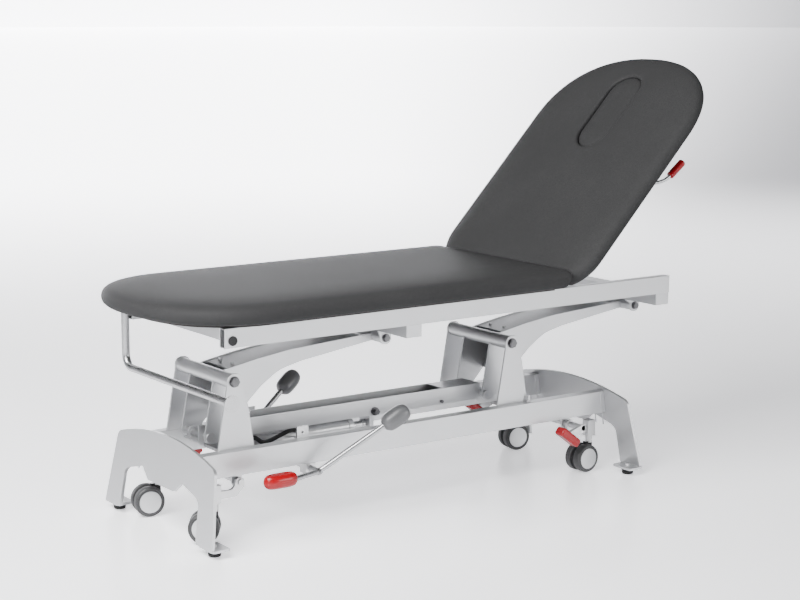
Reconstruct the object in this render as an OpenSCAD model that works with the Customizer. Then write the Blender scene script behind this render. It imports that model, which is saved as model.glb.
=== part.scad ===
// Examination table: a low steel base on two arches carries a top frame on two cranked arms.
// A bar ties the cranks together, a foot pump pushes the bar, and the backrest tilts by itself.
// Axes: +X towards the head end, +Y away from the side with the foot pedals, +Z up, floor at z = 0.

/* [Base arches and feet] */
// Length of the base at floor level, over the outer faces of the arches
base_l = 1334; // [1300:2:1400]
// Angle by which each arch leans towards the middle
arch_lean = 8.5; // [6:0.5:10]
// Thickness of the arch plates
arch_t = 8; // [6:0.5:10]
// Height of the crown of each arch
arch_h = 237; // [230:1:250]
// Width of each arch at floor level
arch_w = 552; // [530:2:580]
// Width of each leg of an arch at floor level
arch_leg_w = 80; // [70:1:90]
// Radius of the shallow crown of each arch
crown_r = 866; // [700:2:1100]
// Height of the underside of each arch in its middle
lobe_z = 115; // [105:1:125]
// Height of the rubber feet
foot_h = 17; // [14:1:22]
// Diameter of the rubber feet
foot_d = 35; // [28:1:42]
// Length of the flange plate under each leg
flange_l = 48; // [42:1:56]
// Width of the flange plate under each leg
flange_w = 72; // [62:1:76]
// Thickness of the flange plates
flange_t = 6; // [4:0.5:8]
// Diameter of the screw in each foot
foot_screw_d = 8; // [6:1:10]

/* [Base rails and uprights] */
// Clear distance between the two rails
rail_gap = 250; // [240:1:260]
// Width of each rail
rail_w = 30; // [26:1:36]
// Height of each rail
rail_h = 60; // [54:1:66]
// Wall of each rail
rail_wall = 3; // [2:0.5:4]
// Height of the underside of the rails
rail_z = 154; // [148:1:158]
// Thickness of the upright plates that hold the arms
upright_t = 6; // [5:0.5:8]
// Width of an upright where it stands on its rail
upright_foot_w = 100; // [90:1:110]
// Width of an upright at its rounded top
upright_top_w = 40; // [36:1:44]
// Distance of the stud on the near rail from the head end pivot
stud_from_pivot = 52; // [46:1:58]

/* [Lifting arms] */
// Distance between the lower pivots of the two arms
pivot_span = 840; // [820:2:860]
// Distance of the foot end pivot from the middle of the base
pivot_x = 516; // [505:1:525]
// Height of the lower pivots
pivot_z = 377; // [370:1:390]
// Diameter of the hub tube of an arm
hub_d = 36; // [32:1:40]
// Diameter of the bolt through a hub
hub_bolt_d = 16; // [14:1:18]
// Length of an arm along X, from the lower to the upper pivot
arm_reach = 456; // [440:1:470]
// Rise of an arm from the lower to the upper pivot
arm_rise = 52; // [46:1:58]
// Width of an arm over its two plates
arm_w = 120; // [112:1:130]
// Thickness of the arm plates
arm_t = 6; // [5:0.5:8]
// Thickness of the web between the plates of an arm
web_t = 4; // [3:0.5:5]
// Drop of the crank pin below the lower pivot
crank_drop = 146.5; // [140:0.5:152]
// Distance of the crank pin behind the lower pivot
crank_back = 29; // [24:1:34]
// Diameter of the crank pins
pin_d = 16; // [14:1:18]
// Diameter of the tube at the upper end of an arm
end_tube_d = 30; // [26:1:34]
// Diameter of the upper bolts
upper_bolt_d = 12; // [10:1:14]
// Radial clearance of the pivots that turn on their bolts
run_fit = 0.05; // [0.03:0.01:0.1]
// Radial clearance of the head end pivots, where the linkage closes
open_fit = 0.4; // [0.3:0.05:0.6]
// Side clearance between parts that turn past each other
side_gap = 0.3; // [0.2:0.1:0.6]

/* [Drive bar and foot pump] */
// Width of the drive bar
bar_w = 76; // [70:1:84]
// Height of the drive bar
bar_h = 42; // [38:1:46]
// Wall of the drive bar
bar_wall = 4; // [3:0.5:5]
// Height of the crank pins above the underside of the drive bar
bar_pin_up = 14.5; // [13:0.5:17]
// Length of bar without a far wall, from the foot end pin
bar_open_l = 187; // [150:1:220]
// Diameter of the barrel of the ram
barrel_d = 44; // [38:1:46]
// Diameter of the rod of the ram
ram_d = 22; // [18:1:24]
// Height of the axis of the ram
ram_z = 186; // [183:1:187]
// Place of the mouth of the barrel along X
barrel_mouth_x = -100; // [-120:1:-90]
// Place of the face that the ram pushes along X
ram_face_x = -56; // [-62:1:-50]
// Diameter of the pedal shaft
shaft_d = 15; // [12:1:17]
// Place of the pedal shaft along X
shaft_x = -318; // [-325:1:-310]
// Height of the pedal shaft
shaft_z = 141; // [138:1:143]
// Reach of each pedal knob from the middle plane
knob_y = 250; // [240:1:265]
// Diameter of the pedal knobs
knob_d = 48; // [44:1:56]
// Length of the pedal knobs
knob_l = 74; // [66:1:84]
// Length of the red pedal pad
pad_l = 88; // [80:1:100]
// Width of the red pedal pad
pad_w = 42; // [40:1:50]
// Height of the red pedal pad
pad_h = 34; // [32:1:40]
// Diameter of the hydraulic hose
hose_d = 11; // [9:0.5:12]

/* [Top frame] */
// Width over the two top rails
top_w = 488; // [476:2:500]
// Width of each top rail
top_rail_w = 25; // [22:1:28]
// Height of each top rail
top_rail_h = 47; // [44:1:50]
// Wall of the top rails and cross tubes
top_wall = 3; // [2:0.5:4]
// Height of the underside of the top rails
top_z = 484; // [482:1:486]
// Foot end of the top rails along X
top_foot_x = -604; // [-620:1:-595]
// Head end of the top rails along X
top_head_x = 777; // [770:1:786]
// Width of the cross tubes over the arms
cross_w = 46; // [42:1:50]
// Height of the cross tubes over the arms
cross_h = 34; // [30:1:36]
// Length of the cross tubes over the arms
cross_l = 460; // [450:2:470]
// Distance between the outer faces of the hanging brackets
hanger_w = 206; // [198:2:216]
// Thickness of the hanging brackets
hanger_t = 6; // [5:0.5:8]
// Diameter of the black plugs in the top rails
plug_d = 23; // [18:1:28]
// Diameter of the paper roll bar
roll_d = 20; // [16:1:22]
// Height of the level part of the roll bar
roll_z = 366; // [350:1:380]
// Reach of the roll bar towards -Y
roll_reach = 290; // [270:1:300]

/* [Mattress] */
// Width of both cushions
cushion_w = 620; // [600:2:640]
// Thickness of both cushions
cushion_t = 60; // [54:1:66]
// Foot end of the leg cushion along X
leg_foot_x = -742; // [-760:2:-730]
// Depth of the rounded foot end of the leg cushion
leg_round = 256; // [230:2:280]
// Head end of the top of the leg cushion along X
leg_head_x = 414; // [408:1:416]
// Radius of the hollow end face that faces the backrest
leg_hollow_r = 78; // [76:0.5:80]
// Radius of the square corners of both cushions
corner_r = 45; // [36:1:54]
// Height of the crown of each cushion over its upper edge
crown = 5; // [4:0.5:8]
// Thickness of the board under each cushion
board_t = 9; // [7:0.5:12]
// Inset of the board from the side of its cushion
board_in = 50; // [40:1:56]
// Smallest corner radius of the leg cushion's board
board_corner_r = 9; // [6:1:14]
// Inward step of the lower edge of each cushion
draw_in = 15; // [12:0.5:18]
// Gap between the cushions and the metal beneath them
seat_gap = 0.3; // [0.2:0.1:0.6]

/* [Backrest] */
// Place of the backrest pivot along X
back_x = 437; // [436:0.5:439]
// Height of the backrest pivot
back_z = 520; // [519:0.5:521]
// Angle at which the backrest stands
back_tilt = 46.3; // [0:0.1:65]
// Length of the backrest from its pivot
back_l = 757; // [745:1:780]
// Depth of the rounded end of the backrest
back_round = 245; // [225:2:270]
// Reach of the lower end of the cushion past the pivot, at its top face
back_toe = 21; // [16:1:22]
// Setback of the lower end of the cushion from the pivot, at its underside
back_heel = 7.5; // [7:0.5:10]
// Radius of the square corners of the backrest
back_corner_r = 105; // [85:1:115]
// Distance from the pivot to the centre of the face opening
slot_s = 545; // [530:1:555]
// Length of the face opening
slot_l = 258; // [236:2:266]
// Width of the face opening
slot_w = 120; // [104:2:130]
// Clearance round the face plug
plug_gap = 0.6; // [0.4:0.1:1.2]
// Thickness of the face plug
face_plug_t = 40; // [34:1:46]
// Size of the square tubes of the back frame
back_tube = 25; // [22:1:26]
// Distance between the outer faces of the back frame's side tubes
back_frame_w = 420; // [410:2:424]
// Length of the side tubes beyond the pivot
back_frame_l = 640; // [600:2:660]
// Diameter of the backrest pivot pins
back_pin_d = 12; // [10:1:14]
// Diameter of the gas spring barrel
gas_d = 24; // [22:1:28]
// Diameter of the gas spring rod
gas_rod_d = 9; // [8:1:10]
// Radial clearance of the gas rod in its barrel
gas_fit = 5.2; // [4.9:0.1:5.5]
// Drop of the gas spring's lower pivot below the backrest pivot
gas_drop = 58; // [54:1:60]
// Distance of the gas spring's upper pivot along the backrest
gas_s = 330; // [320:1:340]
// Diameter of the release rod
release_d = 10; // [8:1:12]
// Distance of the release rod along the backrest
release_s = 370; // [366:1:380]
// Diameter of the release grip
grip_d = 21; // [18:1:24]

/* [Casters] */
// Distance of the caster stems from the middle of the base along X
caster_x = 583; // [575:1:588]
// Distance of the caster stems from the middle plane
caster_y = 146; // [140:1:150]
// Diameter of the caster wheels
wheel_d = 76; // [72:1:80]
// Width of each of the twin wheels
wheel_w = 22; // [18:1:24]
// Gap between the twin wheels
wheel_gap = 12; // [12:0.5:14]
// Trail of the wheels behind the caster stem
trail = 25; // [22:1:28]
// Diameter of the caster stems
stem_d = 11; // [9:1:11]
// Distance of the carriage shafts from the middle of the base along X
carriage_x = 513; // [506:1:520]
// Height of the carriage shafts
carriage_z = 136; // [132:1:138]
// Diameter of the carriage shafts
carriage_d = 16; // [14:1:18]
// Height of the underside of the caster sockets
socket_z = 95; // [93:1:98]

/* [Hidden] */
$fn = 64;
steel = "gainsboro";
zinc = "silver";
chrome = "lightgrey";
vinyl = "dimgrey";
red = "crimson";
black = "#222222";

rail_top = rail_z + rail_h;
rail_out = rail_gap / 2 + rail_w;
foot_y = (arch_w - flange_w) / 2 + 3;
flange_out_x = base_l / 2 - tan(arch_lean) * (foot_h + flange_t);
foot_x = flange_out_x - flange_l / 2;
foot_pivot = [-pivot_x, pivot_z];
head_pivot = [pivot_span - pivot_x, pivot_z];
upper_z = pivot_z + arm_rise;
pin_z = pivot_z - crank_drop;
bar_z = pin_z - bar_pin_up;
bar_foot_x = -pivot_x - crank_back - 18;
bar_head_x = pivot_span - pivot_x - crank_back - 5;
top_in = top_w / 2 - top_rail_w;
top_top = top_z + top_rail_h;
cross_foot_x = -62.5;
cross_head_x = 764.5;
cushion_z = top_top + seat_gap;
back_n = cushion_z - back_z;
tube_n = back_n - seat_gap - back_tube;
edge_up = 6;
edge_in = 6;
back_right_x = back_x + (back_l - edge_in) * cos(back_tilt) - (back_n + board_t + edge_up) * sin(back_tilt);
origin_x = (leg_foot_x + back_right_x) / 2;
gas_n = tube_n - 9;
gas_a = [back_x, back_z - gas_drop];
gas_b = [back_x + gas_s * cos(back_tilt) - gas_n * sin(back_tilt),
    back_z + gas_s * sin(back_tilt) + gas_n * cos(back_tilt)];
gas_len = norm(gas_b - gas_a);
gas_lift = atan2(gas_b.y - gas_a.y, gas_b.x - gas_a.x);
hinge_t = 6;
lug_in = 13;
lug_t = 5;
gas_pin_d = 8;
gas_pin_l = lug_in + lug_t + side_gap + 4;
gas_barrel_l = 210;
gas_rod_l = 200;

// Everything is drawn round the middle of the base and then moved, so that x = 0 is mid-length
module placed() translate([-origin_x, 0, 0]) children();

function unit(v) = v / norm(v);

// One rounded corner of an outline: p between its neighbours a and b, with radius r
function corner(p, a, b, r) = r <= 0 ? [p] :
    let (u = unit(a - p), w = unit(b - p), half = acos(u * w) / 2,
        m = p + unit(u + w) * r / sin(half),
        from = p + u * r / tan(half) - m,
        to = p + w * r / tan(half) - m,
        start = atan2(from.y, from.x),
        turn = atan2(from.x * to.y - from.y * to.x, from * to),
        n = max(2, ceil(abs(turn) / 7)))
    [for (i = [0:n]) m + r * [cos(start + turn * i / n), sin(start + turn * i / n)]];

// Outline whose corners are rounded by the radii in rad
function rounded(pts, rad) = [for (i = [0:len(pts) - 1])
    each corner(pts[i], pts[(i + len(pts) - 1) % len(pts)], pts[(i + 1) % len(pts)], is_list(rad) ? rad[i] : rad)];

function box_outline(l, w, r) = rounded([[l / 2, -w / 2], [l / 2, w / 2], [-l / 2, w / 2], [-l / 2, -w / 2]], r);

// Outline in the XZ plane made into a plate from y to y + t
module side_plate(y, t) translate([0, y + t, 0]) rotate([90, 0, 0]) linear_extrude(t) children();

// Outline in the YZ plane made into a bar from x to x + l
module long_bar(x, l) translate([x, 0, 0]) rotate([90, 0, 90]) linear_extrude(l) children();

// Round rod along Y at x, z
module cross_rod(x, z, y0, y1, d) translate([x, y1, z]) rotate([90, 0, 0]) cylinder(h = y1 - y0, d = d);

// Frame at a whose Z axis points at b
module toward(a, b) translate(a) rotate([0, acos((b - a).z / norm(b - a)), atan2((b - a).y, (b - a).x)]) children();

// Round rod from a to b
module rod(a, b, d) toward(a, b) cylinder(h = norm(b - a), d = d);

// Hexagon nut or head on a cross rod
module nut(x, z, y, t, d) translate([x, y + t, z]) rotate([90, 0, 0]) cylinder(h = t, d = d, $fn = 6);

// Square tube along Y, open at its far end
module blind_tube(x, z, w, h, l, wall) difference() {
    translate([x - w / 2, -l / 2, z]) cube([w, l, h]);
    translate([x - w / 2 + wall, -l / 2 + wall, z + wall]) cube([w - 2 * wall, l, h - 2 * wall]);
}

// Base

arch_cut = [[arch_w / 2 - arch_leg_w, 8], [arch_w / 2 - arch_leg_w - 8, lobe_z + 5], [100, lobe_z + 28], [66, lobe_z],
    [-66, lobe_z], [-100, lobe_z + 28], [8 + arch_leg_w - arch_w / 2, lobe_z + 5], [arch_leg_w - arch_w / 2, 8]];
shoulder_y = arch_w / 2 - 31;
arch_crown = [for (i = [-10:10]) let (y = -shoulder_y * i / 10) [y, arch_h - crown_r + sqrt(crown_r * crown_r - y * y)]];
arch_edge = concat([[arch_w / 2, 8]], arch_crown, [[-arch_w / 2, 8]]);
arch_radii = [for (i = [0:len(arch_edge) - 1]) i == 1 || i == len(arch_edge) - 2 ? 22 : 0];
arch_outline = concat(rounded(arch_edge, arch_radii),
    rounded([for (i = [7:-1:0]) arch_cut[i]], [0, 26, 12, 8, 8, 12, 26, 0]));

module leaning(end) mirror([end < 0 ? 1 : 0, 0, 0]) translate([base_l / 2, 0, 0]) rotate([0, -arch_lean, 0]) children();

module arch(end) color(steel) placed() difference() {
    union() {
        intersection() {
            leaning(end) long_bar(-arch_t, arch_t) polygon([for (p = arch_outline) [p.x, p.y / cos(arch_lean)]]);
            translate([-base_l, -arch_w, foot_h + flange_t / 2]) cube([2 * base_l, 2 * arch_w, arch_h]);
        }
        for (side = [-1, 1]) translate([end * foot_x, side * foot_y, foot_h])
            linear_extrude(flange_t) polygon(box_outline(flange_l, flange_w, 8));
    }
    for (side = [-1, 1]) translate([end * foot_x, side * foot_y, foot_h - 1]) cylinder(h = flange_t + 2, d = foot_screw_d);
}

module arch_foot() arch(-1);
module arch_head() arch(1);

module rubber_feet() color(black) placed() for (end = [-1, 1], side = [-1, 1]) translate([end * foot_x, side * foot_y, 0])
    difference() {
        cylinder(h = foot_h, d1 = foot_d - 3, d2 = foot_d);
        translate([0, 0, foot_h / 2]) cylinder(h = foot_h, d = foot_screw_d);
    }

module foot_screws() color(zinc) placed() for (end = [-1, 1], side = [-1, 1]) translate([end * foot_x, side * foot_y, 0]) {
    translate([0, 0, foot_h / 2]) cylinder(h = foot_h / 2 + flange_t + 1, d = foot_screw_d);
    translate([0, 0, foot_h + flange_t]) cylinder(h = 5, d = foot_screw_d + 6, $fn = 6);
}

// Ear under a rail for the shaft of a caster carriage
module carriage_ear(end, side) side_plate(side > 0 ? rail_gap / 2 : -rail_gap / 2 - upright_t, upright_t) difference() {
    translate([end * carriage_x, carriage_z]) union() {
        circle(d = carriage_d + 14);
        translate([-carriage_d / 2 - 7, 0]) square([carriage_d + 14, rail_z - carriage_z + rail_wall]);
    }
    translate([end * carriage_x, carriage_z]) circle(d = carriage_d + 2 * run_fit);
}

module base_rail(side) color(steel) placed() difference() {
    union() {
        difference() {
            translate([-base_l / 2, side > 0 ? rail_gap / 2 : -rail_out, rail_z]) cube([base_l, rail_w, rail_h]);
            translate([-base_l, (side > 0 ? rail_gap / 2 : -rail_out) + rail_wall, rail_z + rail_wall])
                cube([2 * base_l, rail_w - 2 * rail_wall, rail_h - 2 * rail_wall]);
        }
        for (end = [-1, 1]) carriage_ear(end, side);
    }
    for (end = [-1, 1]) leaning(end) translate([-arch_t, -arch_w, -arch_h]) cube([base_l, 2 * arch_w, 3 * arch_h]);
}

module rail_near() base_rail(-1);
module rail_far() base_rail(1);

// Upright plate round the pivot at p, standing on its rail
module upright(p, side) color(steel) placed() difference() {
    side_plate(side > 0 ? rail_gap / 2 : -rail_gap / 2 - upright_t, upright_t) translate(p)
        polygon(rounded([[-upright_top_w / 2, 20], [upright_top_w / 2, 20], [upright_top_w / 2 + 17, -60],
            [upright_foot_w / 2 + 3, rail_top - pivot_z], [3 - upright_foot_w / 2, rail_top - pivot_z], [1 - upright_top_w / 2, -8]],
            [upright_top_w / 2 - 1, upright_top_w / 2 - 1, 60, 0, 0, 40]));
    cross_rod(p.x, p.y, -rail_gap, rail_gap, hub_bolt_d + 2 * run_fit);
}

module upright_foot_near() upright(foot_pivot, -1);
module upright_foot_far() upright(foot_pivot, 1);
module upright_head_near() upright(head_pivot, -1);
module upright_head_far() upright(head_pivot, 1);

// Bolt along Y with a washer and a nut at each end, over plates that end at y = half
module cross_bolt(p, half, d, nut_d) {
    cross_rod(p.x, p.y, -half - 9, half + 9, d);
    for (y = [-half - 2, half]) cross_rod(p.x, p.y, y, y + 2, nut_d + 3);
    for (y = [-half - 8, half + 1]) nut(p.x, p.y, y, 7, nut_d);
}

module pivot_bolts() color(zinc) placed() for (p = [foot_pivot, head_pivot])
    cross_bolt(p, rail_gap / 2 + upright_t, hub_bolt_d, hub_bolt_d + 8);

module rail_stud() color(zinc) placed() translate([head_pivot.x + stud_from_pivot, -rail_gap / 2 - rail_w / 2, rail_top]) {
    cylinder(h = 3, d = 13);
    cylinder(h = 17, d = 7);
}

// Lifting arms

arm_under_mid = [[75, -74], [115, -37], [167, -3], [231, 12], [322, 24], [arm_reach - 26, arm_rise - 13]];
web_line = rounded(concat([[46, -100]], arm_under_mid), [0, 150, 150, 120, 250, 0, 0]);
arm_outline = rounded(concat([[2 - hub_d / 2, -6], [hub_d / 2 - 4, hub_d / 2 - 3], [96, 30], [199, 44],
    [arm_reach - 14, arm_rise + 7], [arm_reach + 2, arm_rise - 10]],
    [for (i = [5:-1:0]) arm_under_mid[i]],
    [[3 - crank_back + pin_d, -crank_drop - pin_d], [-crank_back - pin_d - 1, -crank_drop - pin_d]]),
    [0, 0, 200, 0, 0, 0, 0, 0, 250, 120, 150, 150, 16, 16]);

module arm_pivots(p, top_fit) {
    cross_rod(p.x, p.y, -arm_w, arm_w, hub_d);
    cross_rod(p.x - crank_back, p.y - crank_drop, -arm_w, arm_w, pin_d);
    cross_rod(p.x + arm_reach, p.y + arm_rise, -hanger_w, hanger_w, upper_bolt_d + 2 * top_fit);
}

// Arm about the lower pivot p: two plates, the web between them and the tube at the upper pivot
module arm(p, top_fit) color(steel) placed() difference() {
    union() {
        for (y = [-arm_w / 2, arm_w / 2 - arm_t]) side_plate(y, arm_t) translate(p) polygon(arm_outline);
        side_plate(-arm_w / 2 + arm_t / 2, arm_w - arm_t) translate(p)
            polygon(concat(web_line, [for (i = [len(web_line) - 1:-1:0]) web_line[i] + web_t * [-0.6, 0.8]]));
        cross_rod(p.x + arm_reach, p.y + arm_rise, side_gap + hanger_t - hanger_w / 2, hanger_w / 2 - hanger_t - side_gap, end_tube_d);
    }
    arm_pivots(p, top_fit);
}

module foot_arm() arm(foot_pivot, run_fit);
module head_arm() arm(head_pivot, open_fit);

// Cover between the upper edges of the plates, with two screws
cover_line = [[28, 16.5], [96, 28.5], [199, 42.5], [arm_reach - 40, arm_rise + 3.5]];
module arm_cover(p) color(zinc) placed() {
    side_plate(arm_t - arm_w / 2, arm_w - 2 * arm_t) translate(p)
        polygon(concat([for (q = cover_line) q - [0, 3]], [for (i = [3:-1:0]) cover_line[i]]));
    for (y = [-30, 30]) translate([p.x + 52, y, p.y + 21]) cylinder(h = 4, d = 8);
}

module foot_arm_cover() arm_cover(foot_pivot);
module head_arm_cover() arm_cover(head_pivot);

module arm_hub(p) color(chrome) placed() difference() {
    cross_rod(p.x, p.y, side_gap - rail_gap / 2, rail_gap / 2 - side_gap, hub_d);
    cross_rod(p.x, p.y, -rail_gap, rail_gap, hub_bolt_d + 2 * run_fit);
}

module foot_arm_hub() arm_hub(foot_pivot);
module head_arm_hub() arm_hub(head_pivot);

// Crank pin through the plates of an arm, with a cap at each end
module crank_pin(p) color(zinc) placed() {
    cross_rod(p.x - crank_back, pin_z, -arm_w / 2 - 1, arm_w / 2 + 1, pin_d);
    for (y = [-arm_w / 2 - 5, arm_w / 2]) cross_rod(p.x - crank_back, pin_z, y, y + 5, pin_d + 9);
}

module foot_arm_pin() crank_pin(foot_pivot);
module head_arm_pin() crank_pin(head_pivot);

// Drive bar: a channel open at the top, with ears round the crank pins and a pad for the ram
module bar_ear(x, y) side_plate(y, 8) {
    translate([x, pin_z]) circle(d = pin_d + 13);
    translate([x < 0 ? x : x - 60, bar_z]) square([60, bar_pin_up + 8]);
}

module drive_bar() color(steel) placed() difference() {
    union() {
        difference() {
            translate([bar_foot_x, -bar_w / 2, bar_z]) cube([bar_head_x - bar_foot_x, bar_w, bar_h]);
            translate([bar_foot_x - 1, bar_wall - bar_w / 2, bar_z + bar_wall])
                cube([bar_head_x - bar_foot_x - 33, bar_w - 2 * bar_wall, bar_h]);
            translate([bar_foot_x - 1, 0, bar_z + bar_wall]) cube([bar_open_l, bar_w, bar_h]);
        }
        translate([bar_head_x - 120, -bar_w / 2, bar_z + bar_h - 3]) cube([100, bar_w, 3]);
        for (y = [-28, 20]) bar_ear(head_pivot.x - crank_back, y);
        bar_ear(foot_pivot.x - crank_back, 20);
        translate([ram_face_x, -24, ram_z - 36]) cube([12, 48, bar_z + 1 - ram_z + 36]);
        cross_rod(ram_face_x + 6, bar_z + 10, -bar_w / 2 - 4, bar_wall - bar_w / 2, 22);
        nut(ram_face_x + 6, bar_z + 10, -bar_w / 2 - 14, 11, 16);
        cross_rod(163, bar_z + 8, -bar_w / 2 - 5, bar_wall - bar_w / 2, 9);
    }
    cross_rod(foot_pivot.x - crank_back, pin_z, -bar_w, bar_w, pin_d + 2 * run_fit);
    cross_rod(head_pivot.x - crank_back, pin_z, -bar_w, bar_w, pin_d + 2 * open_fit);
}

// Foot pump and ram

module pump_body() color(zinc) placed() difference() {
    union() {
        translate([-460, -rail_gap / 2, 158]) cube([148, rail_gap, 8]);
        translate([-455, -45, 166]) cube([125, 90, 44]);
        translate([-330, -30, 162]) cube([18, 60, 20]);
        translate([-420, 46, 166]) cylinder(h = 30, d = 34);
    }
    translate([-420, 46, 190]) cylinder(h = 10, d = 20);
}

// Bracket plates on the rails, and the bushes under the rails that carry the pedal shaft
module pump_brackets() color(zinc) placed() for (side = [-1, 1]) {
    y = side > 0 ? rail_gap / 2 : -rail_gap / 2 - 5;
    side_plate(y, 5) difference() {
        translate([shaft_x - 24, rail_top]) square([33, 29]);
        translate([shaft_x - 8, rail_top + 14]) circle(d = 6);
    }
    difference() {
        translate([shaft_x - 14, side > 0 ? rail_gap / 2 : -rail_out, shaft_z - 13]) cube([28, rail_w, rail_z - shaft_z + 13]);
        cross_rod(shaft_x, shaft_z, -rail_gap, rail_gap, shaft_d + 2 * run_fit);
    }
}

module jack_barrel() color(steel) placed() difference() {
    union() {
        translate([-330, 0, ram_z]) rotate([0, 90, 0]) cylinder(h = barrel_mouth_x + 330, d = barrel_d);
        translate([barrel_mouth_x - 16, 0, ram_z]) rotate([0, 90, 0]) cylinder(h = 12, d = barrel_d + 4);
    }
    translate([-312, 0, ram_z]) rotate([0, 90, 0]) cylinder(h = 300, d = ram_d + 2 * run_fit);
    translate([-340, -31, 100]) cube([30, 62, 182 - 100]);
}

module jack_rod() color(chrome) placed() {
    translate([-290, 0, ram_z]) rotate([0, 90, 0]) cylinder(h = ram_face_x + 280, d = ram_d);
    translate([ram_face_x - side_gap - 12, 0, ram_z]) rotate([0, 90, 0]) cylinder(h = 12, d = ram_d + 5);
}

// Hose along its route, from the end face of the pump to its side
hose_route = [[-455, -15, 190], [-478, -15, 190], [-500, -25, 192], [-508, -52, 197], [-494, -76, 208],
    [-455, -82, 219], [-431, -80, 218], [-411, -80, 205], [-389, -80, 206], [-362, -80, 214], [-330, -76, 221],
    [-300, -66, 214], [-280, -48, 197], [-270, -30, 187], [-270, -22, 186]];
function spline(a, b, c, d, t) = 0.5 * ((2 * b) + (c - a) * t + (2 * a - 5 * b + 4 * c - d) * t * t
    + (3 * b - a - 3 * c + d) * t * t * t);
hose_line = [for (i = [0:len(hose_route) - 2], k = [0:2])
    spline(hose_route[max(i - 1, 0)], hose_route[i], hose_route[i + 1], hose_route[min(i + 2, len(hose_route) - 1)], k / 3)];
hose_path = concat(hose_line, [hose_route[len(hose_route) - 1]]);
module pump_hose() {
    n = len(hose_path);
    sides = 10;
    rings = [for (i = [0:n - 1]) let (t = i == 0 ? [-1, 0, 0] : i == n - 1 ? [0, 1, 0] : unit(hose_path[i + 1] - hose_path[i - 1]),
        u = unit(cross([0, 0, 1], t)), w = cross(t, u))
        [for (k = [0:sides - 1]) hose_path[i] + hose_d / 2 * (cos(360 * k / sides) * u + sin(360 * k / sides) * w)]];
    color(black) placed() polyhedron(concat([for (r = rings) each r], [hose_path[0], hose_path[n - 1]]),
        [for (i = [0:n - 2], k = [0:sides - 1]) let (a = i * sides + k, b = i * sides + (k + 1) % sides)
            each [[a, a + sides, b + sides], [a, b + sides, b]],
         for (k = [0:sides - 1]) [n * sides, k, (k + 1) % sides],
         for (k = [0:sides - 1]) [n * sides + 1, (n - 1) * sides + (k + 1) % sides, (n - 1) * sides + k]]);
}

// Pedal shaft with a rod up to each knob and one down to the pad
function shaft_end(side) = [shaft_x, side * (knob_y - 60), shaft_z];
function knob_at(side) = [-132, side * knob_y, 262];
pad_at = [-463, -knob_y, 154];
pad_rod_end = [pad_at.x + pad_l / 2 - 12, pad_at.y, pad_at.z - 3];
rod_d = shaft_d - 1;
module pedal_shaft() color(chrome) placed() {
    cross_rod(shaft_x, shaft_z, -knob_y + 60, knob_y - 60, shaft_d);
    for (side = [-1, 1]) {
        rod(shaft_end(side), knob_at(side), rod_d);
        translate(shaft_end(side)) rotate([90, 0, 0]) cylinder(h = shaft_d + 3, d = shaft_d + 4, center = true);
    }
    rod(shaft_end(-1), pad_rod_end, rod_d);
}

knob_profile = rounded([[shaft_d / 2 + 3, -knob_l / 2], [knob_d / 2 - 4, 6 - knob_l / 2], [knob_d / 2, knob_l / 2],
    [0, knob_l / 2], [0, -knob_l / 2]], [2, 10, knob_d / 2 - 4, 0, 0]);
module pedal_knobs() color("lightslategrey") placed() for (side = [-1, 1]) difference() {
    toward(shaft_end(side), knob_at(side)) translate([0, 0, norm(knob_at(side) - shaft_end(side))]) rotate_extrude() polygon(knob_profile);
    rod(shaft_end(side), knob_at(side), rod_d);
}

module pedal_pad() color(red) placed() difference() {
    intersection() {
        translate([pad_at.x, pad_at.y, pad_at.z - pad_h / 2]) linear_extrude(pad_h) polygon(box_outline(pad_l, pad_w, 0.48 * pad_w));
        side_plate(pad_at.y - pad_w / 2, pad_w) translate([pad_at.x, pad_at.z]) polygon(box_outline(pad_l, pad_h, 0.46 * pad_h));
        long_bar(pad_at.x - pad_l / 2, pad_l) translate([pad_at.y, pad_at.z]) polygon(box_outline(pad_w, pad_h, 0.35 * pad_h));
    }
    translate([pad_at.x, pad_at.y, pad_at.z + pad_h / 2 - 5]) linear_extrude(6) polygon(box_outline(pad_l - 36, pad_w - 22, 9));
    rod(shaft_end(-1), pad_rod_end, rod_d);
}

// Top frame

module top_rail(side) color(steel) placed() difference() {
    translate([top_foot_x, side > 0 ? top_in : -top_w / 2, top_z]) cube([top_head_x - top_foot_x, top_rail_w, top_rail_h]);
    translate([top_foot_x - 1, (side > 0 ? top_in : -top_w / 2) + top_wall, top_z + top_wall])
        cube([top_head_x - top_foot_x - top_wall + 1, top_rail_w - 2 * top_wall, top_rail_h - 2 * top_wall]);
}

module top_rail_near() top_rail(-1);
module top_rail_far() top_rail(1);

// Cross tube under the rails at x, with two brackets down to the upper pivot of the arm at px
module cross_tube(x, px) color(steel) placed() {
    blind_tube(x, top_z - cross_h, cross_w, cross_h, cross_l, top_wall);
    for (y = [-hanger_w / 2, hanger_w / 2 - hanger_t]) side_plate(y, hanger_t) difference() {
        polygon(rounded([[px + 17, upper_z - 17], [px + 17, upper_z + 12], [x + cross_w / 2 - 4, top_z - cross_h + 1],
            [x - cross_w / 2 + 2, top_z - cross_h + 1], [px - 17, upper_z + 8], [px - 17, upper_z - 17]], [16.5, 0, 0, 0, 0, 16.5]));
        translate([px, upper_z]) circle(d = upper_bolt_d + 2 * run_fit);
    }
}

module cross_tube_foot() cross_tube(cross_foot_x, foot_pivot.x + arm_reach);
module cross_tube_head() cross_tube(cross_head_x, head_pivot.x + arm_reach);

module end_cross_tube() color(steel) placed() blind_tube(top_foot_x + 56.5, top_z, 25, top_rail_h, 2 * top_in, top_wall);

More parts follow.
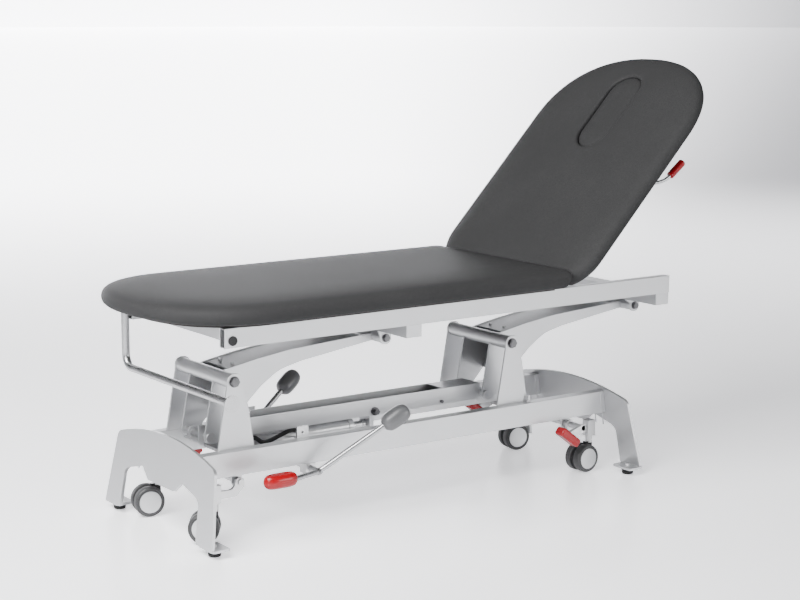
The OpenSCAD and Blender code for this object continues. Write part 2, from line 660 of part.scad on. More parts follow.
// Tube that carries the lower end of the gas spring, with two lugs
module spring_cross_tube() color(steel) placed() {
    blind_tube(gas_a.x - 21, top_z, 25, tube_n + back_z - top_z - 5, 2 * (top_in - hinge_t), top_wall);
    for (y = [-lug_in - lug_t, lug_in]) side_plate(y, lug_t) difference() {
        polygon(rounded([[gas_a.x - 33, top_z + 1], [gas_a.x - 33, top_z - 5], [gas_a.x - 14, gas_a.y - 10],
            [gas_a.x + 10, gas_a.y - 10], [gas_a.x + 10, gas_a.y + 8], [gas_a.x - 9, top_z + 1]], [0, 0, 8, 9, 9, 0]));
        translate(gas_a) circle(d = gas_pin_d + 2 * run_fit);
    }
}

module upper_bolts() color(zinc) placed() for (p = [foot_pivot, head_pivot])
    cross_bolt([p.x + arm_reach, upper_z], hanger_w / 2, upper_bolt_d, upper_bolt_d + 7);

module rail_plugs() color(black) placed() for (side = [-1, 1])
    cross_rod(top_foot_x + 21, top_z + 17, side > 0 ? top_w / 2 : -top_w / 2 - 3, side > 0 ? top_w / 2 + 3 : -top_w / 2, plug_d);

// Bar for a paper roll: down from the far rail, a bend, then level across the foot end
roll_y = top_w / 2 - 8;
roll_bend = 32;
module roll_bar() color(chrome) placed() translate([top_foot_x - roll_d / 2 - 1, 0, 0]) {
    translate([0, roll_y, roll_z + roll_bend]) cylinder(h = top_top - roll_z - roll_bend - 2, d = roll_d);
    translate([0, roll_y - roll_bend, roll_z + roll_bend]) rotate([90, 90, 90])
        rotate_extrude(angle = 90) translate([roll_bend, 0]) circle(d = roll_d);
    cross_rod(0, roll_z, -roll_reach, roll_y - roll_bend, roll_d);
    cross_rod(0, roll_z, -roll_reach - 3, -roll_reach, 2 * roll_d);
    translate([0, roll_y - 9, top_z + 8]) cube([roll_d / 2 + 1, 18, 30]);
}

// Cushions: closed meshes of rings, with a drawn-in lower edge, a soft upper edge and a crown

cushion_edge = [[board_in, 0], [board_in, board_t], [draw_in, board_t + 1], [edge_in, board_t + edge_up], [0, 0.42 * cushion_t],
    [0, 0.58 * cushion_t], [3.5, 0.74 * cushion_t], [10, 0.86 * cushion_t], [21, cushion_t - crown]];
function normal_at(o, i) = let (t = unit(o[(i + 1) % len(o)] - o[(i + len(o) - 1) % len(o)])) [t.y, -t.x];
function fill_line(a, b, n) = [for (i = [1:n - 1]) a + (b - a) * i / n];

// Half oval from angle 90 to 270 of the given depth, in front of x
function oval(x, depth, half, n) = [for (i = [0:n]) let (a = 90 + 180 * i / n)
    [x + depth * sign(cos(a)) * pow(abs(cos(a)), 0.88), half * sign(sin(a)) * pow(abs(sin(a)), 0.88)]];

leg_a = leg_foot_x + leg_round;

// Outline of the leg cushion drawn in by d. Its board keeps a small corner of its own
function leg_loop(d) = let (h = cushion_w / 2 - d, x = leg_head_x - d, r = max(corner_r - d, board_corner_r))
    concat(oval(leg_a, leg_round - d, h, 24), fill_line([leg_a, -h], [x - r, -h], 8),
    corner([x, -h], [0, -h], [x, h], r), fill_line([x, r - h], [x, h - r], 9),
    corner([x, h], [x, -h], [0, h], r), fill_line([x - r, h], [leg_a, h], 8));
function drawn_in(o, d) = [for (i = [0:len(o) - 1]) o[i] - d * normal_at(o, i)];

// Limit of the leg cushion towards the backrest at height z over its underside
function leg_limit(z) = let (dz = z + cushion_z - back_z)
    dz >= leg_hollow_r ? leg_head_x : min(leg_head_x, back_x - sqrt(leg_hollow_r * leg_hollow_r - dz * dz));

// Rings of a cushion: its loops at the heights of the edge profile, then rings drawn in to the centre c
function pad_rings(loops, edge, c, t, cr, leg) = concat(
    [for (j = [0:len(edge) - 1]) [for (p = loops[j]) [leg ? min(p.x, leg_limit(edge[j].y)) : p.x, p.y, edge[j].y]]],
    [for (g = [0.86, 0.62, 0.32]) [for (p = loops[len(edge) - 1]) let (z = t - cr * g * g * g, x = c.x + g * (p.x - c.x))
        [leg ? min(x, leg_limit(z)) : x, c.y + g * (p.y - c.y), z]]]);

module pad_solid(loops, edge, c, t, cr, leg) {
    rings = pad_rings(loops, edge, c, t, cr, leg);
    n = len(loops[0]);
    m = len(rings);
    polyhedron(concat([for (r = rings) each r], [[c.x, c.y, 0], [c.x, c.y, t]]),
        [for (j = [0:m - 2], i = [0:n - 1]) let (a = j * n + i, b = j * n + (i + 1) % n) each [[a, a + n, b + n], [a, b + n, b]],
         for (i = [0:n - 1]) [m * n, i, (i + 1) % n],
         for (i = [0:n - 1]) [m * n + 1, (m - 1) * n + (i + 1) % n, (m - 1) * n + i]]);
}

module leg_cushion() color(vinyl) placed() translate([0, 0, cushion_z])
    pad_solid([for (e = cushion_edge) leg_loop(e.x)], cushion_edge, [-150, 0], cushion_t, crown, true);

// Backrest, drawn flat round its pivot and then tilted
module tilted() translate([back_x, 0, back_z]) rotate([0, -back_tilt, 0]) children();

back_a = back_l - back_round;
back_outline = let (h = cushion_w / 2) concat([for (p = oval(0, back_round, h, 24)) [back_a - p.x, -p.y]],
    fill_line([back_a, h], [back_corner_r - back_toe, h], 6),
    corner([-back_toe, h], [0, h], [-back_toe, -h], back_corner_r),
    fill_line([-back_toe, h - back_corner_r], [-back_toe, back_corner_r - h], 9),
    corner([-back_toe, -h], [-back_toe, h], [0, -h], back_corner_r),
    fill_line([back_corner_r - back_toe, -h], [back_a, -h], 6));
function toe_limit(z) = back_heel - (back_heel + back_toe) * z / cushion_t;
function slot_point(a) = let (k = slot_l / 2 - slot_w / 2, r = slot_w / 2, c = cos(a), s = sin(a))
    abs(s) * k > abs(c) * r ? [r * c / abs(s), r * sign(s)]
        : let (f = sign(c) * k, q = k * abs(c) + sqrt(r * r - k * k * s * s)) [q * c, q * s];

// Section i of the back cushion: from the opening out along the underside, round the edge and back along the top
function back_section(i) = let (o = back_outline, c = [slot_s, 0], v = o[i] - c, q = c + slot_point(atan2(v.y, v.x)),
    u = unit(q - c), e = cushion_edge[len(cushion_edge) - 1], top = o[i] - e.x * normal_at(o, i),
    edge = [for (k = cushion_edge) let (p = o[i] - k.x * normal_at(o, i)) [max(p.x, toe_limit(k.y)), p.y, k.y]])
    concat([[q.x, q.y, 0], [(q.x + edge[0].x) / 2, (q.y + edge[0].y) / 2, 0]], edge,
    [for (g = [0.75, 0.5, 0.25]) let (p = q + g * (top - q)) [p.x, p.y, cushion_t - crown * g * g]],
    [[q.x + 5 * u.x, q.y + 5 * u.y, cushion_t - 0.5], [q.x, q.y, cushion_t - 5]]);

module back_cushion() {
    n = len(back_outline);
    sections = [for (i = [0:n - 1]) back_section(i)];
    m = len(sections[0]);
    color(vinyl) placed() tilted() translate([0, 0, back_n]) polyhedron([for (s = sections) each s],
        [for (i = [0:n - 1], j = [0:m - 1]) let (a = i * m + j, b = i * m + (j + 1) % m,
            c = ((i + 1) % n) * m + j, d = ((i + 1) % n) * m + (j + 1) % m) each [[a, b, d], [a, d, c]]]);
}

face_outline = [for (q = back_outline) let (v = q - [slot_s, 0], p = slot_point(atan2(v.y, v.x)), r = norm(p)) p * (r - plug_gap) / r];
face_edge = [[1.5, 0], [0, 3], [0, face_plug_t - 8], [1.5, face_plug_t - 4], [5, face_plug_t - 1]];
module face_plug() color(vinyl) placed() tilted() translate([slot_s, 0, back_n + cushion_t - face_plug_t])
    pad_solid([for (e = face_edge) drawn_in(face_outline, e.x)], face_edge, [0, 0], face_plug_t, 1, false);

module back_tube_y(s) translate([s, -back_frame_w / 2 + 1, tube_n]) cube([back_tube, back_frame_w - 2, back_tube]);

module back_frame() color(steel) placed() tilted() difference() {
    union() {
        for (y = [-back_frame_w / 2, back_frame_w / 2 - back_tube]) translate([-13, y, tube_n]) cube([back_frame_l + 13, back_tube, back_tube]);
        for (s = [190, gas_s - back_tube / 2, slot_s - slot_l / 2 - 6 - back_tube]) back_tube_y(s);
        for (y = [-lug_in - lug_t, lug_in]) side_plate(y, lug_t) {
            translate([gas_s, gas_n]) circle(d = 20);
            translate([gas_s - 10, gas_n]) square([20, tube_n - gas_n + 1]);
        }
        cross_rod(gas_s, gas_n, -gas_pin_l, gas_pin_l, gas_pin_d);
    }
    for (y = [-back_frame_w / 2, back_frame_w / 2 - back_tube]) translate([-16, y + top_wall, tube_n + top_wall])
        cube([back_frame_l + 16 - back_tube, back_tube - 2 * top_wall, back_tube - 2 * top_wall]);
    cross_rod(0, 0, -top_w, top_w, back_pin_d + 2 * run_fit);
    cross_rod(release_s, -1, -top_w, -back_frame_w / 2 + back_tube + 5, release_d + 2 * run_fit);
}

// Hinge plates on the inner faces of the top rails, each with its pin
module back_hinges() color(zinc) placed() for (side = [-1, 1]) {
    side_plate(side > 0 ? top_in - hinge_t : -top_in, hinge_t) polygon(rounded([[back_x + 34, top_z + 4], [back_x + 14, top_top - 1], [back_x - 14, top_top - 1], [back_x - 30, top_z + 4]], 3));
    cross_rod(back_x, back_z, side > 0 ? back_frame_w / 2 - back_tube - 3 : -top_in, side > 0 ? top_in : back_tube + 3 - back_frame_w / 2, back_pin_d);
}

// Gas spring between the spring cross tube and the back frame
module along_spring() translate([gas_a.x, 0, gas_a.y]) rotate([0, -gas_lift, 0]) children();

module gas_barrel() color(black) placed() along_spring() difference() {
    union() {
        cross_rod(0, 0, side_gap - lug_in, lug_in - side_gap, 16);
        rotate([0, 90, 0]) cylinder(h = 20, d = 12);
        translate([14, 0, 0]) rotate([0, 90, 0]) cylinder(h = gas_barrel_l - 14, d = gas_d);
        cross_rod(0, 0, -gas_pin_l, gas_pin_l, gas_pin_d);
        for (y = [-gas_pin_l, gas_pin_l - 4]) cross_rod(0, 0, y, y + 4, 13);
    }
    translate([24, 0, 0]) rotate([0, 90, 0]) cylinder(h = gas_barrel_l, d = gas_rod_d + 2 * gas_fit);
}

module gas_rod() color(chrome) placed() along_spring() translate([gas_len, 0, 0]) difference() {
    union() {
        translate([-gas_rod_l, 0, 0]) rotate([0, 90, 0]) cylinder(h = gas_rod_l, d = gas_rod_d);
        cross_rod(0, 0, side_gap - lug_in, lug_in - side_gap, 16);
    }
    cross_rod(0, 0, -30, 30, gas_pin_d + 2 * run_fit);
}

// Release lever beside the back frame: a rod across, a bend and a slanting end with the grip on it
lever_y = -240;
lever_bend = [release_s + 57, lever_y, -47];
lever_end = [release_s + 90, lever_y, -52];
module release_rod() color(chrome) placed() tilted() {
    cross_rod(release_s, -1, lever_y, -back_frame_w / 2 + back_tube, release_d);
    cross_rod(release_s, -1, lever_y - release_d / 2 - 1, lever_y + release_d / 2 + 1, release_d + 3);
    rod([release_s, lever_y, -1], lever_bend, release_d - 1);
    translate(lever_bend) sphere(d = release_d + 1);
    rod(lever_bend, lever_end, release_d - 1);
}

module release_grip() color(red) placed() tilted() toward(lever_bend, lever_end) translate([0, 0, 8]) difference() {
    rotate_extrude() polygon(rounded([[0, 0], [grip_d / 2, 0], [grip_d / 2, 58], [0, 58]], [0, 3, grip_d / 2 - 2, 0]));
    translate([0, 0, -9]) cylinder(h = norm(lever_end - lever_bend) + 1, d = release_d - 1);
}

// Caster carriages

socket_half = stem_d / 2 + 7;
pedal_y = 200;
module carriage(end, near) color(zinc) placed() difference() {
    union() {
        cross_rod(end * carriage_x, carriage_z, -near, pedal_y + 6, carriage_d);
        for (side = [-1, 1]) {
            translate([end * caster_x - socket_half, side * caster_y - socket_half, socket_z])
                cube([2 * socket_half, 2 * socket_half, 44]);
            side_plate(side * caster_y - 4, 8) mirror([end < 0 ? 1 : 0, 0]) polygon(rounded([[carriage_x - 11, carriage_z - 11],
                [carriage_x + 12, socket_z + 7], [caster_x, socket_z + 7], [caster_x, socket_z + 26], [carriage_x + 20, socket_z + 26],
                [carriage_x + 11, carriage_z + 11], [carriage_x - 11, carriage_z + 11]], [10, 14, 0, 0, 14, 8, 10]));
        }
    }
    for (side = [-1, 1]) translate([end * caster_x, side * caster_y, socket_z - 1]) cylinder(h = 38, d = stem_d + 2 * run_fit);
}

module carriage_foot() carriage(-1, rail_out);
module carriage_head() carriage(1, pedal_y + 6);

// Rocker pedal sloping down from a to b along X
module pedal(a, b, y, w) side_plate(y - w / 2, w) {
    v = unit(b - a);
    u = [-v.y, v.x];
    polygon(rounded([a - 12 * u, b - 12 * u, b + 12 * u, a + 12 * u], 8));
}

// Pedal on its lever, fixed to the end of a carriage shaft
module carriage_pedal(end, side) mirror([end < 0 ? 1 : 0, 0, 0]) difference() {
    union() {
        pedal([434, 140], [492, 96], side * pedal_y, 34);
        side_plate(side * pedal_y - 6, 12) polygon([[468, 104], [carriage_x + 6, carriage_z - 9],
            [carriage_x + 6, carriage_z + 9], [carriage_x - 6, carriage_z + 9], [460, 128]]);
    }
    cross_rod(carriage_x, carriage_z, side > 0 ? 0 : -pedal_y - 6, side > 0 ? pedal_y + 6 : 0, carriage_d);
}

module carriage_pedal_foot() color(red) placed() carriage_pedal(-1, 1);
module carriage_pedals_head() color(red) placed() for (side = [-1, 1]) carriage_pedal(1, side);

// Twin-wheel caster with its stem at x, y and its wheels trailing at the given turn
module at_stem(x, y, turn) translate([x, y, 0]) rotate([0, 0, turn]) children();

module caster(x, y, turn) color(black) placed() at_stem(x, y, turn) difference() {
    union() {
        translate([0, 0, wheel_d - 6]) cylinder(h = socket_z + 34 - wheel_d + 6, d = stem_d);
        translate([0, 0, wheel_d]) cylinder(h = socket_z - side_gap - wheel_d, d = stem_d + 7);
        side_plate(side_gap - wheel_gap / 2, wheel_gap - 2 * side_gap) union() {
            translate([trail, wheel_d / 2]) circle(d = wheel_d - 9);
            translate([-8, wheel_d / 2 + 12]) square([24, wheel_d / 2 - 8]);
        }
    }
    cross_rod(trail, wheel_d / 2, -wheel_gap, wheel_gap, 8 + 2 * run_fit);
}

module wheels(x, y, turn) color("grey") placed() at_stem(x, y, turn) {
    cross_rod(trail, wheel_d / 2, -wheel_gap / 2 - 2, wheel_gap / 2 + 2, 8);
    for (side = [-1, 1]) mirror([0, side < 0 ? 1 : 0, 0]) translate([trail, wheel_gap / 2, wheel_d / 2]) rotate([-90, 0, 0]) rotate_extrude()
        polygon(rounded([[0, 0], [wheel_d / 2, 0], [wheel_d / 2, wheel_w - 1], [wheel_d / 2 - 7, wheel_w - 1],
            [wheel_d / 2 - 8, wheel_w], [0, wheel_w + 1]], [0, 4, 3, 0, 0, 0]));
}

turn_foot_near = 145.7;
turn_foot_far = 167.7;
turn_head_near = 182.5;
turn_head_far = 170;
module caster_foot_near() caster(-caster_x, -caster_y, turn_foot_near);
module caster_foot_far() caster(-caster_x, caster_y, turn_foot_far);
module caster_head_near() caster(caster_x, -caster_y, turn_head_near);
module caster_head_far() caster(caster_x, caster_y, turn_head_far);
module wheels_foot_near() wheels(-caster_x, -caster_y, turn_foot_near);
module wheels_foot_far() wheels(-caster_x, caster_y, turn_foot_far);
module wheels_head_near() wheels(caster_x, -caster_y, turn_head_near);
module wheels_head_far() wheels(caster_x, caster_y, turn_head_far);

arch_foot();
arch_head();
rail_near();
rail_far();
upright_foot_near();
upright_foot_far();
upright_head_near();
upright_head_far();
pivot_bolts();
rail_stud();
rubber_feet();
foot_screws();
pump_body();
pump_brackets();
pump_hose();
jack_barrel();
jack_rod();
foot_arm();
foot_arm_cover();
foot_arm_hub();
foot_arm_pin();
head_arm();
head_arm_cover();
head_arm_hub();
head_arm_pin();
drive_bar();
top_rail_near();
top_rail_far();
cross_tube_foot();
cross_tube_head();
end_cross_tube();
spring_cross_tube();
upper_bolts();
rail_plugs();
roll_bar();
leg_cushion();
back_hinges();
back_cushion();
back_frame();
face_plug();
gas_barrel();
gas_rod();
release_rod();
release_grip();
pedal_shaft();
pedal_knobs();
pedal_pad();
carriage_foot();
carriage_head();
carriage_pedal_foot();
carriage_pedals_head();
caster_foot_near();
caster_foot_far();
caster_head_near();
caster_head_far();
wheels_foot_near();
wheels_foot_far();
wheels_head_near();
wheels_head_far();
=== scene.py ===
"""Examination table: an upholstered top on a steel base with cranked lifting arms.

Built round its CAD frame, in metres, with X towards the head end and -Y the near side.
"""

import math

import bmesh
import bpy
from mathutils import Matrix, Vector


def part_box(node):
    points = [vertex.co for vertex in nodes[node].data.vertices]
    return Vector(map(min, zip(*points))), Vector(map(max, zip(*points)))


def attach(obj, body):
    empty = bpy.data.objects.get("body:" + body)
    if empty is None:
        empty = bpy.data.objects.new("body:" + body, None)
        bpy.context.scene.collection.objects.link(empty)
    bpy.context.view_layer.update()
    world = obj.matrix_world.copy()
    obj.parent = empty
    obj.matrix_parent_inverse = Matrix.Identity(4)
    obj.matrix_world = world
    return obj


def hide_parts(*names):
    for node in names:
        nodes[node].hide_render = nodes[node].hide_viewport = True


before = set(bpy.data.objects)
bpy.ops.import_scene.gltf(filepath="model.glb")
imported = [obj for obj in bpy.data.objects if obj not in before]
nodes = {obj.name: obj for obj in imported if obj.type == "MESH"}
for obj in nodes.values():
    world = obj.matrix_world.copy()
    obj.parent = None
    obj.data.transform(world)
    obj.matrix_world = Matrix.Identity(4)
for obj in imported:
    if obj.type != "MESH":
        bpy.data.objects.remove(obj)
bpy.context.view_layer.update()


# Studio: a wide pale floor, soft light from above, from the left and from the front, and the
# camera where the photographer stood. The camera's place is measured from the middle of the steel base.
rail_low, rail_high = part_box("rail_near")
base_x = (rail_low[0] + rail_high[0]) / 2
collection = bpy.context.scene.collection

CAMERA_FROM_BASE = (-2.6355, -3.8300, 1.2951)
CAMERA_DOWN, CAMERA_RIGHT = 9.64, 35.1
camera_data = bpy.data.cameras.new("camera")
camera_data.sensor_width = 36
camera_data.lens = 82.38
camera_data.clip_end = 400
camera = bpy.data.objects.new("camera", camera_data)
camera.location = Vector((base_x, 0, 0)) + Vector(CAMERA_FROM_BASE)
camera.rotation_euler = (math.radians(90 - CAMERA_DOWN), 0, math.radians(-CAMERA_RIGHT))
collection.objects.link(camera)
bpy.context.scene.camera = camera


class Sock:
    """A shader socket that can be used in sums."""

    def __init__(self, tree, out):
        self.tree = tree
        self.out = out

    def math(self, kind, *values):
        node = self.tree.nodes.new("ShaderNodeMath")
        node.operation = kind
        for socket, value in zip(node.inputs, values):
            plug(self.tree, socket, value)
        return Sock(self.tree, node.outputs[0])

    def __add__(self, other):
        return self.math("ADD", self, other)

    def __sub__(self, other):
        return self.math("SUBTRACT", self, other)

    def __rsub__(self, other):
        return self.math("SUBTRACT", other, self)

    def __mul__(self, other):
        return self.math("MULTIPLY", self, other)

    __radd__ = __add__
    __rmul__ = __mul__

    def above(self, edge, soft):
        """0 below edge, 1 above edge + soft, smooth between."""
        node = self.tree.nodes.new("ShaderNodeMapRange")
        node.interpolation_type = "SMOOTHSTEP"
        plug(self.tree, node.inputs["Value"], self)
        node.inputs["From Min"].default_value = edge
        node.inputs["From Max"].default_value = edge + soft
        return Sock(self.tree, node.outputs["Result"])


def plug(tree, socket, value):
    """Links a Sock to a shader input, or sets the input to a value."""
    if isinstance(value, Sock):
        tree.links.new(value.out, socket)
    elif isinstance(value, tuple) and len(value) == 3 and socket.type == "RGBA":
        socket.default_value = (*value, 1.0)
    else:
        socket.default_value = value


class Finish:
    """A material on Object coordinates, in metres."""

    def __init__(self, name):
        self.material = bpy.data.materials.new(name)
        self.material.use_nodes = True
        self.tree = self.material.node_tree
        self.shader = self.tree.nodes["Principled BSDF"]
        self.place = self.node("ShaderNodeTexCoord", {}, {}, "Object")

    def node(self, kind, settings, values, output=0):
        made = self.tree.nodes.new(kind)
        for key, value in settings.items():
            setattr(made, key, value)
        for key, value in values.items():
            plug(self.tree, made.inputs[key], value)
        return Sock(self.tree, made.outputs[output])

    def stretched(self, *scale):
        return self.node("ShaderNodeMapping", {}, {"Vector": self.place, "Scale": scale})

    def noise(self, scale, detail=2.0, rough=0.5, place=None):
        values = {"Vector": place or self.place, "Scale": scale, "Detail": detail, "Roughness": rough}
        return self.node("ShaderNodeTexNoise", {}, values, "Fac")

    def cells(self, scale, feature, place):
        return self.node("ShaderNodeTexVoronoi", {"feature": feature}, {"Vector": place, "Scale": scale}, "Distance")

    def mix(self, factor, a, b):
        made = self.tree.nodes.new("ShaderNodeMix")
        made.data_type = "RGBA"
        plug(self.tree, made.inputs[0], factor)
        plug(self.tree, made.inputs[6], a)
        plug(self.tree, made.inputs[7], b)
        return Sock(self.tree, made.outputs[2])

    def bump(self, height, distance, strength=1.0):
        values = {"Height": height, "Distance": distance, "Strength": strength}
        self.put(Normal=self.node("ShaderNodeBump", {}, values))

    def put(self, **values):
        for key, value in values.items():
            plug(self.tree, self.shader.inputs[key.replace("_", " ")], value)


# The floor runs into a round wall. Both glow with painted light behind the table, less so to the right, and are dark
# on the camera's side, which keeps contrast in the steel. Far to the right their colour is also painted darker, as
# painted shade.
FLOOR_R, WALL_TOP, FLOOR_SIDES = 60, 16.0, 96
TOWARDS_BACK, TOWARDS_RIGHT = (0.575, 0.818, 0.0), (0.96, 0.28, 0.0)
NEAR_GLOW, FAR_GLOW = (0.66, 0.66, 0.68), (5.0, 5.0, 5.15)
DARK_GLOW, DUSK_GLOW = (0.12, 0.12, 0.125), (0.35, 0.35, 0.37)
floor_finish = Finish("floor_pale")


def on_place(operation, output):
    """A vector operation on the point of the floor or wall."""
    return floor_finish.node("ShaderNodeVectorMath", {"operation": operation}, {0: floor_finish.place}, output)


def facing(heading, way):
    """How far a heading from the middle points along a given way."""
    return floor_finish.node("ShaderNodeVectorMath", {"operation": "DOT_PRODUCT"}, {0: heading, 1: way}, "Value")


radial = on_place("LENGTH", "Value")
heading = on_place("NORMALIZE", "Vector")
far = radial.above(1.6, 7.0)
behind = facing(heading, TOWARDS_BACK).above(0.55, 0.35)
painted_dusk = far * facing(heading, TOWARDS_RIGHT).above(0.74, 0.20)
# Painted light: the floor and wall glow faintly near the table, brightly far behind it, and dimly far on the
# camera's side and far to the right.
glow = floor_finish.mix(far * behind, NEAR_GLOW, FAR_GLOW)
glow = floor_finish.mix(far * (1.0 - behind), glow, DARK_GLOW)
glow = floor_finish.mix(painted_dusk, glow, DUSK_GLOW)
# Painted shade: the colour of the floor and wall is darker far to the right.
floor_finish.put(Base_Color=floor_finish.mix(painted_dusk, (0.86, 0.86, 0.875), (0.50, 0.50, 0.515)), Roughness=0.30,
                 Specular_IOR_Level=0.5, Emission_Color=glow, Emission_Strength=1.0)
floor_mesh = bpy.data.meshes.new("studio_floor")
floor_rim = [(FLOOR_R * math.cos(math.tau * i / FLOOR_SIDES), FLOOR_R * math.sin(math.tau * i / FLOOR_SIDES))
             for i in range(FLOOR_SIDES)]
wall_faces = [(i, i + FLOOR_SIDES, (i + 1) % FLOOR_SIDES + FLOOR_SIDES, (i + 1) % FLOOR_SIDES)
              for i in range(FLOOR_SIDES)]
floor_mesh.from_pydata([(x, y, z) for z in (-0.0004, WALL_TOP) for x, y in floor_rim], [],
                       [list(range(FLOOR_SIDES))] + wall_faces)
floor_mesh.materials.append(floor_finish.material)
floor = bpy.data.objects.new("studio_floor", floor_mesh)
collection.objects.link(floor)

world = bpy.data.worlds.new("studio")
world.use_nodes = True
sky = world.node_tree.nodes
way_up = sky.new("ShaderNodeTexCoord")
split = sky.new("ShaderNodeSeparateXYZ")
fade = sky.new("ShaderNodeMapRange")
fade.inputs["From Max"].default_value = 0.65
fade.inputs["To Min"].default_value = 0.20
fade.inputs["To Max"].default_value = 0.12
world.node_tree.links.new(way_up.outputs["Generated"], split.inputs[0])
world.node_tree.links.new(split.outputs["Z"], fade.inputs["Value"])
world.node_tree.links.new(fade.outputs["Result"], sky["Background"].inputs["Strength"])
sky["Background"].inputs["Color"].default_value = (0.95, 0.96, 0.98, 1)
bpy.context.scene.world = world


def softbox(name, place, target, size, power):
    """A rectangular area light at a place, turned towards a target."""
    data = bpy.data.lights.new(name, "AREA")
    data.shape = "RECTANGLE"
    data.size, data.size_y = size
    data.energy = power
    light = bpy.data.objects.new(name, data)
    light.location = place
    light.rotation_euler = (Vector(target) - Vector(place)).to_track_quat("-Z", "Y").to_euler()
    collection.objects.link(light)


softbox("overhead", (-2.5, -0.7, 2.9), (0, 0, 0.4), (2.6, 2.2), 400)
softbox("left_front", (-3.8, -2.0, 1.8), (0, 0, 0.5), (1.8, 1.8), 60)
softbox("right_front", (2.4, -4.2, 1.3), (0.2, 0, 0.4), (2.8, 1.4), 115)


# Welded steel base: two laser-cut arches, two box rails and four upright plates, with a satin
# silver-grey powder coat over everything. Edges are slightly rounded by grinding and by the coat.
coat = Finish("silver_powder_coat")
orange_peel = coat.noise(900, 2.0) * 0.6 + coat.noise(260, 1.0) * 0.4
coat_drift = coat.noise(2.2, 3.0)
coat.put(Base_Color=coat.mix(coat_drift, (0.48, 0.485, 0.495), (0.55, 0.555, 0.565)),
         Metallic=0.85, Roughness=0.36 + coat.noise(14, 3.0) * 0.07, IOR=1.5)
coat.bump(orange_peel, 0.00009, 0.5)


def flatten(obj):
    """Turns what the modifiers make into the object's plain mesh."""
    made = bpy.data.meshes.new_from_object(obj.evaluated_get(bpy.context.evaluated_depsgraph_get()))
    made.name = obj.name
    obj.modifiers.clear()
    obj.data = made


def solid(name, bm, material, body, covers=(), smooth=38, weighted=False):
    """Makes a mesh object of bm, shades it smooth up to an angle and lets it ride."""
    mesh = bpy.data.meshes.new(name)
    bm.to_mesh(mesh)
    bm.free()
    for one in material if isinstance(material, (list, tuple)) else [material]:
        mesh.materials.append(one)
    mesh.shade_smooth()
    mesh.set_sharp_from_angle(angle=math.radians(smooth))
    obj = bpy.data.objects.new(name, mesh)
    collection.objects.link(obj)
    if weighted:
        obj.modifiers.new("weighted", "WEIGHTED_NORMAL").keep_sharp = True
        flatten(obj)
    if covers:
        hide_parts(*covers)
    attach(obj, body)
    return obj


SHARP_ANGLE = math.radians(36)


def eased(name, body, finish, width=0.0010, smooth=38, second=None):
    """The CAD node's shape with its sharp edges eased, as grinding and plating leave them.

    second is another finish and a test that picks its faces by their middles.
    """
    bm = bmesh.new()
    bm.from_mesh(nodes[name].data)
    bmesh.ops.remove_doubles(bm, verts=bm.verts, dist=0.00002)
    bmesh.ops.dissolve_limit(bm, angle_limit=math.radians(0.6), verts=bm.verts, edges=bm.edges)
    sharp = [e for e in bm.edges if len(e.link_faces) == 2 and e.calc_face_angle(0) > SHARP_ANGLE]
    bmesh.ops.bevel(bm, geom=sharp, offset=width, offset_type="OFFSET", segments=2, profile=0.5,
                    affect="EDGES", clamp_overlap=True)
    bmesh.ops.recalc_face_normals(bm, faces=bm.faces)
    kinds = [finish.material]
    if second:
        kinds.append(second[0].material)
        for face in bm.faces:
            face.material_index = int(second[1](face.calc_center_median()))
    return solid(name + "_finished", bm, kinds, body, [name], smooth, True)


uprights = ("upright_foot_near", "upright_foot_far", "upright_head_near", "upright_head_far")
for name in ("arch_foot", "arch_head", "rail_near", "rail_far", *uprights):
    eased(name, "base", coat, 0.0013)


# Weld seams where the uprights stand on the rails and where the rails meet the arches: overlapping
# beads along each joint, painted over with the same coat.
def row_tree(name, template, finish, pitch):
    """Geometry Nodes that set copies of a small mesh along the edges of the object."""
    tree = bpy.data.node_groups.new(name, "GeometryNodeTree")
    tree.interface.new_socket("Geometry", in_out="INPUT", socket_type="NodeSocketGeometry")
    step = tree.interface.new_socket("Pitch", in_out="INPUT", socket_type="NodeSocketFloat")
    step.default_value = pitch
    tree.interface.new_socket("Geometry", in_out="OUTPUT", socket_type="NodeSocketGeometry")
    enter = tree.nodes.new("NodeGroupInput")
    leave = tree.nodes.new("NodeGroupOutput")
    curve = tree.nodes.new("GeometryNodeMeshToCurve")
    spaced = tree.nodes.new("GeometryNodeResampleCurve")
    spaced.mode = "LENGTH"
    tangent = tree.nodes.new("GeometryNodeInputTangent")
    turn = tree.nodes.new("FunctionNodeAlignRotationToVector")
    turn.axis = "X"
    piece = tree.nodes.new("GeometryNodeObjectInfo")
    piece.inputs["Object"].default_value = template
    copies = tree.nodes.new("GeometryNodeInstanceOnPoints")
    real = tree.nodes.new("GeometryNodeRealizeInstances")
    paint = tree.nodes.new("GeometryNodeSetMaterial")
    paint.inputs["Material"].default_value = finish.material
    link = tree.links.new
    link(enter.outputs["Geometry"], curve.inputs["Mesh"])
    link(curve.outputs["Curve"], spaced.inputs["Curve"])
    link(enter.outputs["Pitch"], spaced.inputs["Length"])
    link(spaced.outputs["Curve"], copies.inputs["Points"])
    link(tangent.outputs["Tangent"], turn.inputs["Vector"])
    link(turn.outputs["Rotation"], copies.inputs["Rotation"])
    link(piece.outputs["Geometry"], copies.inputs["Instance"])
    link(copies.outputs["Instances"], real.inputs["Geometry"])
    link(real.outputs["Geometry"], paint.inputs["Geometry"])
    link(paint.outputs["Geometry"], leave.inputs["Geometry"])
    return tree, step.identifier


def row_of(name, lines, template, finish, pitch, body):
    """One mesh of copies of the template along each line of points."""
    mesh = bpy.data.meshes.new(name)
    points = [p for line in lines for p in line]
    edges, start = [], 0
    for line in lines:
        edges += [(start + i, start + i + 1) for i in range(len(line) - 1)]
        start += len(line)
    mesh.from_pydata(points, edges, [])
    obj = bpy.data.objects.new(name, mesh)
    collection.objects.link(obj)
    tree, pitch_input = row_tree(name, template, finish, pitch)
    rows = obj.modifiers.new("rows", "NODES")
    rows.node_group = tree
    rows[pitch_input] = pitch
    flatten(obj)
    obj.data.shade_smooth()
    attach(obj, body)
    return obj


